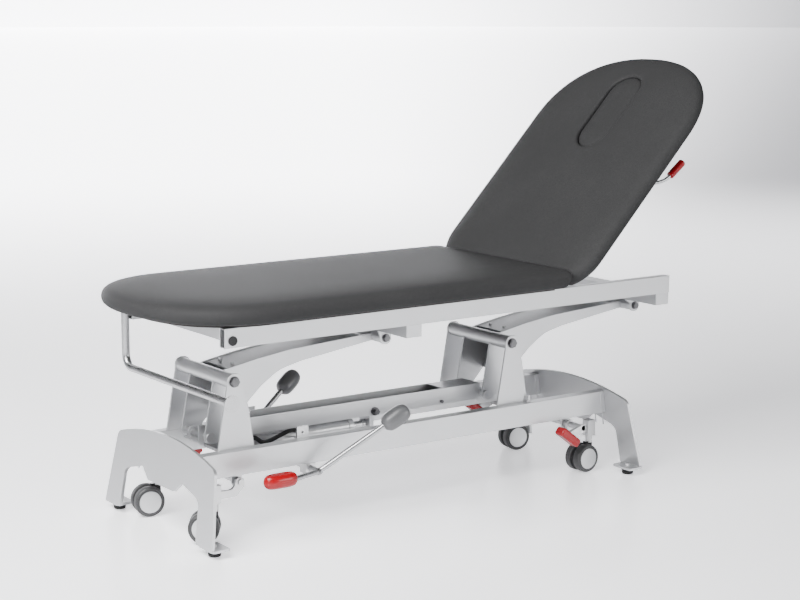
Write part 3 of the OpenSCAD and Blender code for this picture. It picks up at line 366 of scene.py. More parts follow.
def template_of(name, bm):
    """An object that is only copied along rows and isn't in the scene itself."""
    mesh = bpy.data.meshes.new(name)
    bm.to_mesh(mesh)
    bm.free()
    return bpy.data.objects.new(name, mesh)


bead = bmesh.new()
bmesh.ops.create_icosphere(bead, subdivisions=1, radius=1, matrix=Matrix.Diagonal((0.0026, 0.0023, 0.0019, 1)))
bead = template_of("weld_bead", bead)
BEAD_PITCH = 0.0021
ARCH_LEAN = math.radians(8.5)
ARCH_IN = 0.0085
rail_top = rail_high[2]
weld_lines = []
for name in uprights:
    low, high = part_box(name)
    outer = low[1] if low[1] < 0 else high[1]
    weld_lines.append([(low[0] + 0.004, outer, rail_top + 0.0006), (high[0] - 0.004, outer, rail_top + 0.0006)])
for rail in ("rail_near", "rail_far"):
    low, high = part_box(rail)
    for end, x in ((-1, low[0]), (1, high[0])):
        foot_x = x - end * ARCH_IN
        top_x = foot_x - end * math.tan(ARCH_LEAN) * (rail_top - low[2])
        for y in (low[1], high[1]):
            weld_lines.append([(foot_x, y, low[2] + 0.002), (top_x, y, rail_top - 0.002)])
row_of("base_welds", weld_lines, bead, coat, BEAD_PITCH, "base")


# Rubber feet, turned from black rubber with a groove, each on its levelling screw under a flange.
rubber = Finish("black_rubber")
rubber.put(Base_Color=rubber.mix(rubber.noise(60, 3.0), (0.006, 0.006, 0.0065), (0.013, 0.013, 0.0135)),
           Roughness=0.6 + rubber.noise(30) * 0.15, Specular_IOR_Level=0.3)
rubber.bump(rubber.noise(700), 0.0001, 0.6)


def spun(bm, profile, place=Matrix.Identity(4), steps=48):
    """Turns a profile of (radius, height) round Z and adds it at the given place."""
    rings = []
    for r, z in profile:
        angles = [math.tau * k / steps for k in range(steps)] if r > 0 else [0.0]
        rings.append([bm.verts.new(place @ Vector((r * math.cos(a), r * math.sin(a), z))) for a in angles])
    for low, high in zip(rings, rings[1:]):
        for k in range(steps):
            ring = [low[k % len(low)], low[(k + 1) % len(low)], high[(k + 1) % len(high)], high[k % len(high)]]
            ring = list(dict.fromkeys(ring))
            if len(ring) > 2:
                bm.faces.new(ring)


feet = bmesh.new()
low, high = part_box("rubber_feet")
foot_h = high[2]
foot_r = 0.0175
foot_profile = [(0, 0), (foot_r - 0.0050, 0), (foot_r - 0.0028, 0.0012), (foot_r - 0.0016, foot_h * 0.40),
                (foot_r - 0.0030, foot_h * 0.47), (foot_r - 0.0030, foot_h * 0.55), (foot_r - 0.0010, foot_h * 0.62),
                (foot_r, foot_h - 0.0012), (foot_r - 0.0010, foot_h), (0, foot_h)]
for x in (low[0] + foot_r, high[0] - foot_r):
    for y in (low[1] + foot_r, high[1] - foot_r):
        spun(feet, foot_profile, Matrix.Translation((x, y, 0)))
solid("feet_turned", feet, rubber.material, "base", ["rubber_feet"])


# Zinc-plated fasteners and small fittings: nuts, washers and pins with a cool, uneven sheen.
zinc = Finish("zinc_plate")
zinc.put(Base_Color=zinc.mix(zinc.noise(40, 3.0), (0.46, 0.465, 0.48), (0.60, 0.60, 0.595)), Metallic=1.0,
         Roughness=0.30 + zinc.noise(120, 2.0) * 0.14)
zinc.bump(zinc.noise(1400), 0.00004, 0.5)
for name in ("rail_stud", "foot_screws", "pump_body", "pump_brackets"):
    eased(name, "base", zinc, 0.0007)

# Pivot bolts: darkened steel with a washer and a nut at each end.
dark_steel = Finish("darkened_steel")
dark_steel.put(Base_Color=dark_steel.mix(dark_steel.noise(70, 3.0), (0.09, 0.09, 0.095), (0.17, 0.17, 0.175)),
               Metallic=1.0, Roughness=0.30 + dark_steel.noise(150, 2.0) * 0.15)
dark_steel.bump(dark_steel.noise(1300), 0.00004, 0.5)
eased("pivot_bolts", "base", dark_steel, 0.0007)


# Polished steel tube and rod: the ram, the roll bar, the gas spring's rod, the release lever's rod
# and the shaft of the pump pedal.
chrome = Finish("polished_steel")
drawn = chrome.noise(1.0, 2.0, 0.5, chrome.stretched(900, 24, 900))
chrome.put(Base_Color=(0.44, 0.443, 0.45), Metallic=1.0, Roughness=0.22 + drawn * 0.12)
chrome.bump(drawn, 0.00003, 0.25)

# Dark moulded plastic: plugs, caster hoods and the painted gas spring.
black = Finish("dark_plastic")
black.put(Base_Color=black.mix(black.noise(35, 2.0), (0.006, 0.006, 0.0065), (0.012, 0.012, 0.013)),
          Roughness=0.4 + black.noise(50) * 0.12, Specular_IOR_Level=0.3)
black.bump(black.noise(1100), 0.00005, 0.5)

# Glossy red plastic: the pump pad, the carriage pedals and the grip of the release lever.
red = Finish("red_gloss_plastic")
red.put(Base_Color=red.mix(red.noise(9, 2.0), (0.23, 0.0008, 0.004), (0.29, 0.001, 0.005)),
        Roughness=0.22 + red.noise(30) * 0.06, Specular_IOR_Level=0.38)
red.bump(red.noise(300), 0.00005, 0.3)


# Hydraulic unit: the barrel and its ram between the rails.
eased("jack_barrel", "base", zinc, 0.0012)
eased("jack_rod", "jack_ram", chrome, 0.0010)


# Hydraulic hose from the pump's end, round beside the block and into the barrel, with a crimped
# sleeve at each end. It is held at both ends.
hose_mm = [(-455, -15, 190), (-478, -15, 190), (-500, -25, 192), (-508, -52, 197), (-494, -76, 208),
           (-455, -82, 219), (-431, -80, 218), (-411, -80, 205), (-389, -80, 206), (-362, -80, 214),
           (-330, -76, 221), (-300, -66, 214), (-280, -48, 197), (-270, -30, 187), (-270, -22, 186)]
hose_route = [Vector((base_x + x / 1000, y / 1000, z / 1000)) for x, y, z in hose_mm]


def spline_points(route, steps=6):
    """Catmull-Rom points along a route."""
    points = []
    for i in range(len(route) - 1):
        a, b = route[max(i - 1, 0)], route[i]
        c, d = route[i + 1], route[min(i + 2, len(route) - 1)]
        for k in range(steps):
            t = k / steps
            points.append(0.5 * (2 * b + (c - a) * t + (2 * a - 5 * b + 4 * c - d) * t * t
                                 + (3 * b - a - 3 * c + d) * t ** 3))
    return points + [route[-1]]


def pipe(bm, points, radii, sides=20):
    """A closed tube along points, with one radius for each point or for all."""
    count = len(points)
    radii = radii if isinstance(radii, list) else [radii] * count
    side_way = None
    rings = []
    for i, p in enumerate(points):
        way = (points[min(i + 1, count - 1)] - points[max(i - 1, 0)]).normalized()
        if side_way is None:
            side_way = way.orthogonal().normalized()
        side_way = (side_way - way * side_way.dot(way)).normalized()
        up = way.cross(side_way)
        angles = [math.tau * k / sides for k in range(sides)]
        rings.append([bm.verts.new(p + radii[i] * (math.cos(a) * side_way + math.sin(a) * up)) for a in angles])
    for low, high in zip(rings, rings[1:]):
        for k in range(sides):
            bm.faces.new([low[k], low[(k + 1) % sides], high[(k + 1) % sides], high[k]])
    bm.faces.new(rings[0][::-1])
    bm.faces.new(rings[-1])


HOSE_R = 0.0053
SLEEVE = [(0, 0.0078), (0.0015, 0.0084), (0.008, 0.0084), (0.009, 0.0072), (0.0105, 0.0072), (0.0115, 0.0084),
          (0.018, 0.0080), (0.019, 0.0060)]
hose = bmesh.new()
pipe(hose, spline_points(hose_route), HOSE_R, 18)
solid("hose_smooth", hose, rubber.material, "base", ["pump_hose"], 60)
sleeves = bmesh.new()
for start, onward in ((hose_route[0], hose_route[1]), (hose_route[-1], hose_route[-2])):
    way = (onward - start).normalized()
    pipe(sleeves, [start + way * d for d, _ in SLEEVE], [r for _, r in SLEEVE], 24)
solid("hose_sleeves", sleeves, zinc.material, "base", (), 30)


# Lifting arms: two plates with a web, a screwed cover, a hub tube on the pivot bolt and a crank pin.
for end in ("foot", "head"):
    eased(end + "_arm", end + "_arm", coat, 0.0012)
    eased(end + "_arm_cover", end + "_arm", coat, 0.0008)
    eased(end + "_arm_hub", end + "_arm", coat, 0.0010)
    eased(end + "_arm_pin", end + "_arm", zinc, 0.0010)

# Drive bar: a folded channel that ties the two cranks together, with bolts on its near side.
BAR_NEAR_Y = -0.0392
eased("drive_bar", "drive_bar", coat, 0.0013,
      second=(dark_steel, lambda middle: middle.y < BAR_NEAR_Y))


# Top frame: box rails, cross tubes with hanging brackets, black plugs and the bent roll bar.
for name in ("top_rail_near", "top_rail_far", "cross_tube_foot", "cross_tube_head", "end_cross_tube",
             "spring_cross_tube"):
    eased(name, "top_frame", coat, 0.0013)
eased("upper_bolts", "top_frame", dark_steel, 0.0007)
eased("back_hinges", "top_frame", zinc, 0.0007)
eased("rail_plugs", "top_frame", black, 0.0009)
eased("roll_bar", "top_frame", chrome, 0.0010, 50)


# Leg cushion: firm foam on a board under smooth dark grey synthetic leather. The cover is drawn
# tight over soft edges, folded under and stapled to the board.
vinyl = Finish("dark_grey_vinyl")
warp = vinyl.node("ShaderNodeTexNoise", {}, {"Vector": vinyl.place, "Scale": 260.0, "Detail": 2.0}, "Color")
bent = vinyl.node("ShaderNodeVectorMath", {"operation": "MULTIPLY_ADD"},
                  {0: warp, 1: (0.0012, 0.0012, 0.0012), 2: vinyl.place}, "Vector")
grain = vinyl.cells(620, "DISTANCE_TO_EDGE", bent).above(0.0, 0.32)
fine_grain = vinyl.noise(1500, 2.0)
mottle = vinyl.noise(5, 4.0)
vinyl_tone = vinyl.mix(mottle.above(0.3, 0.4), (0.034, 0.034, 0.0345), (0.041, 0.041, 0.0415))
vinyl.put(Base_Color=vinyl.mix(grain, (0.024, 0.024, 0.0245), vinyl_tone),
          Roughness=0.50 + mottle * 0.08 - grain * 0.06, Specular_IOR_Level=0.03)
vinyl.bump(grain * 0.7 + fine_grain * 0.3, 0.00016, 0.55)

board = Finish("cushion_board")
plies = board.noise(30, 4.0, 0.6, board.stretched(0.3, 3, 3))
board.put(Base_Color=board.mix(plies, (0.012, 0.011, 0.010), (0.022, 0.020, 0.018)), Roughness=0.8)
board.bump(board.noise(60, 3.0, 0.5, board.stretched(0.3, 4, 4)), 0.0002, 0.5)

# Sections of both cushions: (inset from the outline, height over the board's underside) up to the
# end of the soft edge, from where the top rises slowly to its crown.
SIDE = [(0.0500, 0.0004), (0.0495, 0.0000), (0.0495, 0.0090), (0.0180, 0.0098), (0.0088, 0.0128), (0.0030, 0.0180),
        (0.0003, 0.0250), (0.0000, 0.0310), (0.0014, 0.0375), (0.0046, 0.0430), (0.0098, 0.0474), (0.0170, 0.0508),
        (0.0260, 0.0534), (0.0360, 0.0554)]
SOFT_EDGE = 0.0360
CROWN, CROWN_RISE, CROWN_RUN = 0.0634, 0.0080, 0.055
BOARD_TOP = 0.0092
half_w = 0.310


def crown_z(inset):
    """Height of the top face over the board's underside, past the soft edge."""
    return CROWN - CROWN_RISE * math.exp(-(inset - SOFT_EDGE) / CROWN_RUN)


def bowed(value, exponent):
    """A power that keeps the sign, for squarish ovals."""
    return math.copysign(abs(value) ** exponent, value)


def outward(loop, i):
    """The unit normal of a loop of points at point i."""
    a, b = loop[(i + 1) % len(loop)], loop[i - 1]
    way = (Vector(a) - Vector(b)).normalized()
    return Vector((way.y, -way.x))


def oval_end(depth, half, steps):
    """Half of a squarish oval, from its +Y side over its tip to its -Y side."""
    angles = [math.radians(90 + 180 * i / steps) for i in range(steps + 1)]
    return [(depth * bowed(math.cos(a), 0.88), half * bowed(math.sin(a), 0.88)) for a in angles]


def arc(cx, cy, r, a0, a1, steps):
    angles = [math.radians(a0 + (a1 - a0) * i / steps) for i in range(steps + 1)]
    return [(cx + r * math.cos(a), cy + r * math.sin(a)) for a in angles]


def run(a, b, steps):
    """Points between two points, without the ends."""
    return [(a[0] + (b[0] - a[0]) * i / steps, a[1] + (b[1] - a[1]) * i / steps) for i in range(1, steps)]


def skin(bm, rings):
    """Faces between rings of equal length."""
    rows = [[bm.verts.new(p) for p in ring] for ring in rings]
    for low, high in zip(rows, rows[1:]):
        for i in range(len(low)):
            j = (i + 1) % len(low)
            bm.faces.new([low[i], low[j], high[j], high[i]])
    return rows


leg_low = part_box("leg_cushion")[0]
under = leg_low[2]
hinge_x, hinge_z = base_x + 0.437, 0.520
leg_tip, leg_head, leg_corner = leg_low[0], base_x + 0.414, 0.045
leg_depth = 0.256
hollow_r = 0.0782
mid_foot = leg_tip + leg_depth
outline = [(mid_foot + x, y) for x, y in oval_end(leg_depth, half_w, 64)]
outline += run((mid_foot, -half_w), (leg_head - leg_corner, -half_w), 28)
outline += arc(leg_head - leg_corner, leg_corner - half_w, leg_corner, -90, 0, 10)
outline += run((leg_head, leg_corner - half_w), (leg_head, half_w - leg_corner), 22)
outline += arc(leg_head - leg_corner, half_w - leg_corner, leg_corner, 0, 90, 10)
outline += run((leg_head - leg_corner, half_w), (mid_foot, half_w), 28)


def hollow_limit(z):
    """The end towards the backrest is hollowed, so that the backrest's lower end can turn past it."""
    dz = z + under - hinge_z
    return leg_head if dz >= hollow_r else min(leg_head, hinge_x - math.sqrt(hollow_r ** 2 - dz * dz))


def leg_ring(inset, z):
    """The leg cushion's outline drawn in by inset, and past the soft edge gathered to its spine."""
    ring = []
    for i, p in enumerate(outline):
        edge = Vector(p) - outward(outline, i) * min(inset, SOFT_EDGE)
        if inset > SOFT_EDGE:
            mid = Vector((min(max(p[0], mid_foot), leg_head - half_w * 0.8), 0))
            edge = edge.lerp(mid, (inset - SOFT_EDGE) / (half_w - SOFT_EDGE))
        ring.append((min(edge.x, hollow_limit(z)), edge.y, under + z))
    return ring


leg = bmesh.new()
insets = [0.048, 0.064, 0.085, 0.112, 0.145, 0.185, 0.230, 0.275, half_w]
skin(leg, [leg_ring(d, 0.0) for d in (half_w, 0.2, 0.1)] + [leg_ring(d, z) for d, z in SIDE]
     + [leg_ring(d, crown_z(d)) for d in insets])
bmesh.ops.remove_doubles(leg, verts=leg.verts, dist=0.0002)
bmesh.ops.recalc_face_normals(leg, faces=leg.faces)
for face in leg.faces:
    face.material_index = int(all(v.co.z < under + BOARD_TOP for v in face.verts))
leg = solid("leg_cushion_padded", leg, [vinyl.material, board.material], "top_frame",
            ["leg_cushion"], 60)


# Backrest: the same cushion with a face opening, drawn flat round its hinge and then tilted.
tilt = math.radians(46.3)
lift = under - hinge_z
back_length, back_depth, back_corner = 0.757, 0.245, 0.105
slot_at, slot_half_l, slot_half_w = 0.545, 0.129, 0.060
toe, heel, cushion_t = 0.021, 0.0075, 0.060


def tilted(s, y, n):
    """A place s along the backrest from its hinge, y across it and n off its frame."""
    return Vector((hinge_x + s * math.cos(tilt) - n * math.sin(tilt), y,
                   hinge_z + s * math.sin(tilt) + n * math.cos(tilt)))


def slot_point(angle, gap=0.0):
    """Where a ray from the middle of the opening meets its rounded outline."""
    reach, r = slot_half_l - slot_half_w, slot_half_w - gap
    c, s = math.cos(angle), math.sin(angle)
    if abs(s) * reach > abs(c) * r:
        return Vector((r * c / abs(s), math.copysign(r, s)))
    f = math.copysign(reach, c)
    q = reach * abs(c) + math.sqrt(max(r * r - (reach * s) ** 2, 0))
    return Vector((q * c, q * s))


back_flat = back_length - back_depth
back_outline = [(back_flat - x, -y) for x, y in oval_end(back_depth, half_w, 64)]
back_outline += run((back_flat, half_w), (back_corner - toe, half_w), 20)
back_outline += arc(back_corner - toe, half_w - back_corner, back_corner, 90, 180, 14)
back_outline += run((-toe, half_w - back_corner), (-toe, back_corner - half_w), 22)
back_outline += arc(back_corner - toe, back_corner - half_w, back_corner, 180, 270, 14)
back_outline += run((back_corner - toe, -half_w), (back_flat, -half_w), 20)


def toe_limit(z):
    """Where the lower end stops at a height: it leans from the heel out to the toe."""
    return heel - (heel + toe) * min(z, 0.062) / cushion_t


def rim_z(from_edge, from_hole):
    """Height of the top face, which rolls down round the opening."""
    roll = 0.0048 * math.exp(-from_hole / 0.0028) + 0.0016 * math.exp(-from_hole / 0.016)
    return crown_z(SOFT_EDGE + from_edge) - roll


TOP_FALLS = [0.012, 0.028, 0.05, 0.08, 0.115, 0.155]
HOLE_FALLS = [0.022, 0.012, 0.0065, 0.003, 0.001, 0.0]


def back_section(i):
    """Points from the opening's underside out to the edge and back over the top into the opening."""
    p = Vector(back_outline[i])
    centre = Vector((slot_at, 0))
    ray = p - centre
    hole = centre + slot_point(math.atan2(ray.y, ray.x))
    side = []
    for inset, z in SIDE:
        q = p - outward(back_outline, i) * inset
        side.append((max(q.x, toe_limit(z)), q.y, z))
    inner = Vector(side[0][:2])
    points = [(*hole.lerp(inner, g), 0.0) for g in (0, 0.35, 0.7)] + side
    top = Vector(side[-1][:2])
    length = (top - hole).length
    spans = [f / length for f in TOP_FALLS if f < length * 0.62]
    while len(spans) < len(TOP_FALLS):
        spans.append(spans[-1] + (0.75 - spans[-1]) * 0.4)
    for g in spans:
        q = top.lerp(hole, g)
        points.append((q.x, q.y, rim_z(g * length, (1 - g) * length)))
    for e in HOLE_FALLS:
        q = hole.lerp(top, e / length)
        points.append((q.x, q.y, rim_z(length - e, e)))
    points.append((hole.x, hole.y, rim_z(length, 0) - 0.005))
    points.append((hole.x, hole.y, 0.030))
    return points


back = bmesh.new()
sections = [back_section(i) for i in range(len(back_outline))]
columns = list(zip(*sections))
rows = skin(back, [[tilted(s, y, n + lift) for s, y, n in column] for column in columns])
first, last = rows[0], rows[-1]
for i in range(len(first)):
    j = (i + 1) % len(first)
    back.faces.new([last[i], last[j], first[j], first[i]])
bmesh.ops.remove_doubles(back, verts=back.verts, dist=0.0001)
bmesh.ops.recalc_face_normals(back, faces=back.faces)
flat_side = Vector((-math.sin(tilt), 0, math.cos(tilt)))
for face in back.faces:
    heights = [(v.co - Vector((hinge_x, 0, hinge_z))).dot(flat_side) - lift for v in face.verts]
    face.material_index = int(max(heights) < BOARD_TOP)
back = solid("back_cushion_padded", back, [vinyl.material, board.material], "backrest",
             ["back_cushion"], 60)


# Staples: they hold the leg cushion's cover to the board, in a row under its edge.
staple = bmesh.new()
bmesh.ops.create_cube(staple, size=1, matrix=Matrix.Diagonal((0.0100, 0.0012, 0.0008, 1)))
bmesh.ops.bevel(staple, geom=staple.edges[:], offset=0.0002, segments=1, affect="EDGES")
staple = template_of("staple", staple)
leg_hem = [(x, y, under + 0.0086) for x, y, _ in leg_ring(SOFT_EDGE, 0.0)]
row_of("leg_staples", [leg_hem + leg_hem[:1]], staple, zinc, 0.024, "top_frame")


# Face plug: a small pad that fills the face opening and lifts out.
plug_gap, plug_t = 0.0006, 0.040
plug_edge, plug_rise = 0.0382, 0.0044
plug_side = [(0.0015, 0.0), (0.0, 0.003), (0.0, 0.0270), (0.0006, 0.0300), (0.0022, 0.0326), (0.0050, 0.0348),
             (0.0095, 0.0366), (0.0160, plug_edge)]
plug_loop = [slot_point(math.tau * k / 96, plug_gap) for k in range(96)]
plug_rings = []
for inset, z in plug_side:
    plug_rings.append([(p - outward([tuple(q) for q in plug_loop], i) * inset, z) for i, p in enumerate(plug_loop)])
plug_rim = [p for p, _ in plug_rings[-1]]
spine = slot_half_l - slot_half_w
for g in (0.8, 0.6, 0.4, 0.2, 0.0):
    crown = plug_edge + plug_rise * (1 - g) ** 0.5
    gathered = [Vector((max(min(p.x, spine), -spine) * (1 - g) + p.x * g, p.y * g)) for p in plug_rim]
    plug_rings.append([(p, crown) for p in gathered])
bottom = [[(p * g, 0.0) for p in plug_loop] for g in (0.02, 0.5)]
filler = bmesh.new()
skin(filler, [[tilted(slot_at + p.x, p.y, lift + cushion_t - plug_t + z) for p, z in ring]
              for ring in bottom + plug_rings])
bmesh.ops.remove_doubles(filler, verts=filler.verts, dist=0.0001)
bmesh.ops.holes_fill(filler, edges=[e for e in filler.edges if e.is_boundary], sides=0)
bmesh.ops.recalc_face_normals(filler, faces=filler.faces)
filler = solid("face_plug_padded", filler, vinyl.material, "face_plug", ["face_plug"], 60)


# Frame of the backrest and its gas spring.
eased("back_frame", "backrest", coat, 0.0012)
eased("gas_barrel", "gas_barrel", black, 0.0008)
eased("gas_rod", "gas_rod", chrome, 0.0005)


# Release lever: a bent steel rod beside the backrest with a red grip.
def along(start, way):
    """A frame at start whose Z points a given way."""
    return Matrix.Translation(start) @ way.to_track_quat("Z", "Y").to_matrix().to_4x4()


release_s, lever_y, lever_r = 0.370, -0.240, 0.0048
rod_path = [(0.000, -0.186, -0.001), (0.000, -0.222, -0.001), (0.002, -0.236, -0.004), (0.010, lever_y, -0.013),
            (0.026, lever_y, -0.029), (0.048, lever_y, -0.043), (0.075, lever_y, -0.0502), (0.092, lever_y, -0.0525)]
lever = bmesh.new()
pipe(lever, spline_points([tilted(release_s + s, y, n) for s, y, n in rod_path], 8), lever_r, 20)
solid("release_rod_bent", lever, chrome.material, "release_lever", ["release_rod"], 60)
grip = bmesh.new()
bend, tip = tilted(release_s + 0.057, lever_y, -0.047), tilted(release_s + 0.090, lever_y, -0.052)
way = (tip - bend).normalized()
grip_place = along(bend + way * 0.008, way)
grip_r, grip_l = 0.0105, 0.058
profile = [(0, 0), (grip_r - 0.0022, 0), (grip_r - 0.0006, 0.0006), (grip_r, 0.0024)]
grip_grooves, groove_from, groove_pitch = 9, 0.0075, 0.0048
for k in range(grip_grooves):
    z = groove_from + k * groove_pitch
    profile += [(grip_r, z), (grip_r - 0.0007, z + 0.0006), (grip_r - 0.0007, z + 0.0014), (grip_r, z + 0.0020)]
profile += [(grip_r, grip_l - 0.0045), (grip_r - 0.0009, grip_l - 0.0022), (grip_r - 0.0032, grip_l - 0.0006),
            (0, grip_l)]
spun(grip, profile, grip_place)
solid("release_grip_ribbed", grip, red.material, "release_lever", ["release_grip"], 50)


# Pump pedal: a bent shaft under the rails with an egg-shaped knob on each side and a red foot pad.
shaft_x, shaft_z = base_x - 0.318, 0.141
knob_y, bend_in = 0.250, 0.060
shaft_r, arm_r = 0.0072, 0.0070
pad_l, pad_w = 0.088, 0.042
knob_grey = Finish("soft_grey_plastic")
knob_grey.put(Base_Color=knob_grey.mix(knob_grey.noise(25, 3.0), (0.075, 0.076, 0.079), (0.115, 0.116, 0.119)),
              Roughness=0.30 + knob_grey.noise(40) * 0.1)
knob_grey.bump(knob_grey.noise(500, 2.0), 0.00008, 0.4)


def knob_at(side):
    return Vector((base_x - 0.132, side * knob_y, 0.262))


def bend_at(side):
    """Where the shaft turns up towards the knob on a side."""
    return Vector((shaft_x, side * (knob_y - bend_in), shaft_z))


pad_at = Vector((base_x - 0.463, -knob_y, 0.154))
shaft = bmesh.new()
for side in (-1, 1):
    way = (knob_at(side) - bend_at(side)).normalized()
    path = [Vector((shaft_x, side * y, shaft_z)) for y in (0, 0.10, knob_y - 0.078)]
    path += [bend_at(side) + Vector((0.0015, -side * 0.004, 0.001)), bend_at(side) + way * 0.018,
             bend_at(side) + way * 0.10, knob_at(side)]
    pipe(shaft, spline_points(path, 8), shaft_r, 24)
arm_start = bend_at(-1)
arm_end = pad_at + Vector((pad_l / 2 - 0.012, 0, -0.003))
pipe(shaft, [arm_start, arm_start.lerp(arm_end, 0.5), arm_end], arm_r, 24)
spun(shaft, [(0.0088, -0.006), (0.0094, -0.004), (0.0094, 0.004), (0.0088, 0.006)],
     along(arm_start, arm_end - arm_start), 24)
solid("pedal_shaft_bent", shaft, chrome.material, "pump_pedal", ["pedal_shaft"], 50)

knobs = bmesh.new()
knob_l, knob_r = 0.074, 0.024
KNOB = [(0.0, -0.5), (0.44, -0.5), (0.50, -0.492), (0.80, -0.40), (0.90, -0.35), (0.955, -0.28), (0.985, -0.18),
        (1.0, -0.05), (0.995, 0.08), (0.97, 0.19), (0.92, 0.285), (0.84, 0.365), (0.72, 0.43), (0.55, 0.475),
        (0.34, 0.496), (0.15, 0.5), (0.0, 0.5)]
for side in (-1, 1):
    place = along(knob_at(side), (knob_at(side) - bend_at(side)).normalized())
    spun(knobs, [(r * knob_r, z * knob_l) for r, z in KNOB], place, 56)
solid("pedal_knobs_turned", knobs, knob_grey.material, "pump_pedal", ["pedal_knobs"], 40)

# Sections of the pad: (how far each is drawn in, height) in mm, from its underside over the rounded
# sides and the rim of the top to the floor of the hollow in it.
PAD = [(19, -17), (13.5, -16.8), (9, -15.8), (5.2, -13.6), (2.2, -10), (0.6, -5.2), (0, 0), (0.5, 5), (2.0, 9.8),
       (4.6, 13.4), (7.6, 15.6), (10, 16.6), (11.5, 16.8), (12.4, 16.1), (13, 14.5), (13.4, 12.4), (15, 12),
       (20.5, 12)]


def pad_ring(drawn_in, z):
    angles = [math.tau * k / 64 for k in range(64)]
    return [pad_at + Vector(((pad_l / 2 - drawn_in) * bowed(math.cos(a), 0.70),
                             (pad_w / 2 - drawn_in) * bowed(math.sin(a), 0.80), z)) for a in angles]


pad = bmesh.new()
skin(pad, [pad_ring(drawn_in / 1000, z / 1000) for drawn_in, z in PAD])
bmesh.ops.holes_fill(pad, edges=[e for e in pad.edges if e.is_boundary], sides=0)
bmesh.ops.recalc_face_normals(pad, faces=pad.faces)
solid("pedal_pad_moulded", pad, red.material, "pump_pedal", ["pedal_pad"], 50)


# Caster carriages: a shaft in ears under the rails, with a socket for each caster. The pedals are
# glossy red bars, each on a zinc-plated lever that leads to the shaft.
for end in ("foot", "head"):
    eased("carriage_" + end, end + "_carriage", zinc, 0.0010)
carriage_x, carriage_z, pedal_y = 0.513, 0.136, 0.200
bar_w, bar_t, lever_t = 0.0338, 0.0238, 0.012
high_end, low_end = Vector((0.434, 0.140)), Vector((0.492, 0.096))
lever_outline = [(0.468, 0.104), (carriage_x + 0.006, carriage_z - 0.009), (carriage_x + 0.006, carriage_z + 0.009),
                 (carriage_x - 0.006, carriage_z + 0.009), (0.460, 0.128)]
for node, body, end, sides in (("carriage_pedal_foot", "foot_carriage", -1, (1,)),
                               ("carriage_pedals_head", "head_carriage", 1, (-1, 1))):
    bars, levers = bmesh.new(), bmesh.new()
    middle, slope = (high_end + low_end) / 2, low_end - high_end
    for side in sides:
        place = (Matrix.Translation((base_x + end * middle.x, side * pedal_y, middle.y))
                 @ Matrix.Rotation(math.atan2(-slope.y, end * slope.x), 4, "Y")
                 @ Matrix.Diagonal((slope.length, bar_w, bar_t, 1)))
        bmesh.ops.create_cube(bars, size=1, matrix=place)
        near = [levers.verts.new((base_x + end * x, side * pedal_y - lever_t / 2, z)) for x, z in lever_outline]
        grown = bmesh.ops.extrude_face_region(levers, geom=[levers.faces.new(near)])["geom"]
        grown = [v for v in grown if isinstance(v, bmesh.types.BMVert)]
        bmesh.ops.translate(levers, verts=grown, vec=(0, lever_t, 0))
    bmesh.ops.bevel(bars, geom=bars.edges[:], offset=0.0075, segments=6, profile=0.55, affect="EDGES",
                    clamp_overlap=True)
    bmesh.ops.bevel(levers, geom=levers.edges[:], offset=0.001, segments=2, profile=0.5, affect="EDGES",
                    clamp_overlap=True)
    for bm in (bars, levers):
        bmesh.ops.recalc_face_normals(bm, faces=bm.faces)
    solid(node + "_bars", bars, red.material, body, [node], 30)
    solid(node + "_levers", levers, zinc.material, body, (), 30, True)


# Twin-wheel casters: a dark hood with a plated stem, and two dark wheels on one axle, each with a
# silver cover inside a dark ring.
rim_grey = Finish("grey_tread")
rim_grey.put(Base_Color=rim_grey.mix(rim_grey.noise(50, 2.0), (0.022, 0.022, 0.023), (0.036, 0.036, 0.037)),
             Roughness=0.45 + rim_grey.noise(60) * 0.1)
rim_grey.bump(rim_grey.noise(800), 0.00006, 0.5)
cover = Finish("silver_wheel_cover")
cover.put(Base_Color=cover.mix(cover.noise(20, 2.0), (0.50, 0.505, 0.515), (0.58, 0.585, 0.595)), Metallic=0.55,
          Roughness=0.3 + cover.noise(30) * 0.08)
cover.bump(cover.noise(900), 0.00004, 0.4)
rim_ring = Finish("grey_rim_ring")
rim_ring.put(Base_Color=rim_ring.mix(rim_ring.noise(50, 2.0), (0.020, 0.020, 0.021), (0.034, 0.034, 0.035)),
             Roughness=0.4)
rim_ring.bump(rim_ring.noise(800), 0.00005, 0.4)

wheel_r, wheel_w, wheel_gap, trail = 0.038, 0.022, 0.012, 0.025
stem_from_base, stem_from_middle, stem_foot_z = 0.583, 0.146, 0.0765
rim_inner_r, axle_r = wheel_r - 0.0100, 0.004
turns = {"foot_near": 145.7, "foot_far": 167.7, "head_near": 182.5, "head_far": 170.0}
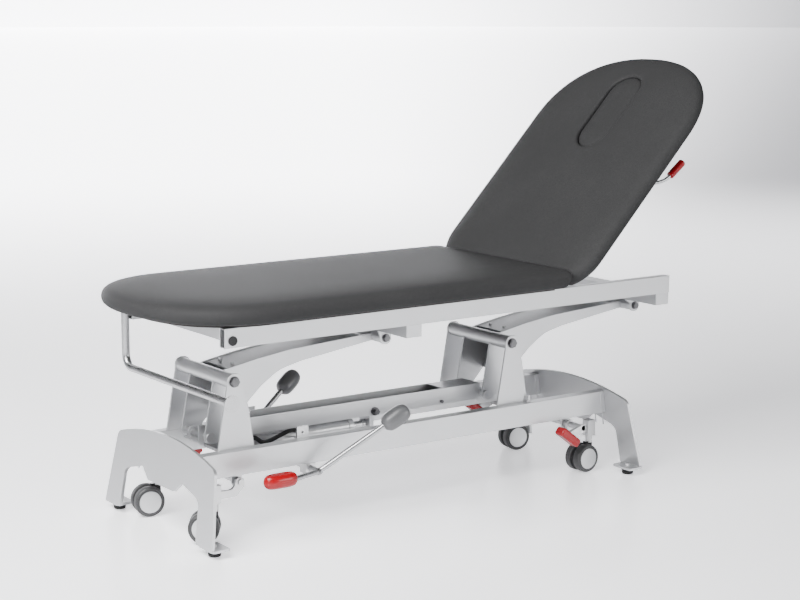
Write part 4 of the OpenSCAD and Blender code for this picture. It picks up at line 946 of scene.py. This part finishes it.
# Half sections of one wheel, turned round its axle: (radius, distance from its inner side).
tread = [(0.0, 0.0), (wheel_r - 0.004, 0.0), (wheel_r - 0.0012, 0.0006), (wheel_r - 0.0002, 0.0024),
         (wheel_r, 0.0050)]
tread += [(wheel_r - less, wheel_w - lower) for less, lower in
          ((0, 0.0068), (0.0004, 0.0042), (0.0014, 0.0020), (0.0030, 0.0006), (0.0044, 0.0002), (0.0050, 0.0012))]
tread += [(axle_r, wheel_w - 0.0012), (0.0, wheel_w - 0.0012)]
disc = [(0.0, wheel_w - 0.0011)]
disc += [(wheel_r - less, wheel_w + higher) for less, higher in
         ((0.0050, -0.0011), (0.0050, -0.0002), (0.0058, 0.0003), (0.0092, 0.0003), (0.0097, -0.0005),
          (0.0102, -0.0005), (0.0107, 0.0003), (0.014, 0.0006), (0.024, 0.0008))]
disc += [(0.0, wheel_w + 0.0009)]
axle_end = wheel_gap / 2 + 0.001
axle_pin = [(0, -axle_end), (axle_r, -axle_end), (axle_r, axle_end), (0, axle_end)]
for corner_name, turn in turns.items():
    end, side = corner_name.split("_")
    stem = (base_x + (stem_from_base if end == "head" else -stem_from_base),
            stem_from_middle if side == "far" else -stem_from_middle, 0)
    axle = (Matrix.Translation(stem) @ Matrix.Rotation(math.radians(turn), 4, "Z")
            @ Matrix.Translation((trail, 0, wheel_r)))
    wheels, covers = bmesh.new(), bmesh.new()
    for way in (-1, 1):
        place = axle @ Matrix.Rotation(math.radians(-90 * way), 4, "X") @ Matrix.Translation((0, 0, wheel_gap / 2))
        spun(wheels, tread, place, 64)
        spun(covers, disc, place, 64)
    spun(wheels, axle_pin, axle @ Matrix.Rotation(math.radians(90), 4, "X"), 24)
    for bm in (wheels, covers):
        bmesh.ops.recalc_face_normals(bm, faces=bm.faces)
    solid("treads_" + corner_name, wheels, rim_grey.material, "wheels_" + corner_name,
          ["wheels_" + corner_name], 35)
    across = axle.to_3x3().col[1].normalized()
    for face in covers.faces:
        reach = face.calc_center_median() - axle.translation
        face.material_index = int((reach - across * reach.dot(across)).length > rim_inner_r)
    solid("covers_" + corner_name, covers, [cover.material, rim_ring.material], "wheels_" + corner_name,
          (), 35)
    eased("caster_" + corner_name, "caster_" + corner_name, black, 0.0008,
          second=(zinc, lambda middle: middle.z > stem_foot_z))
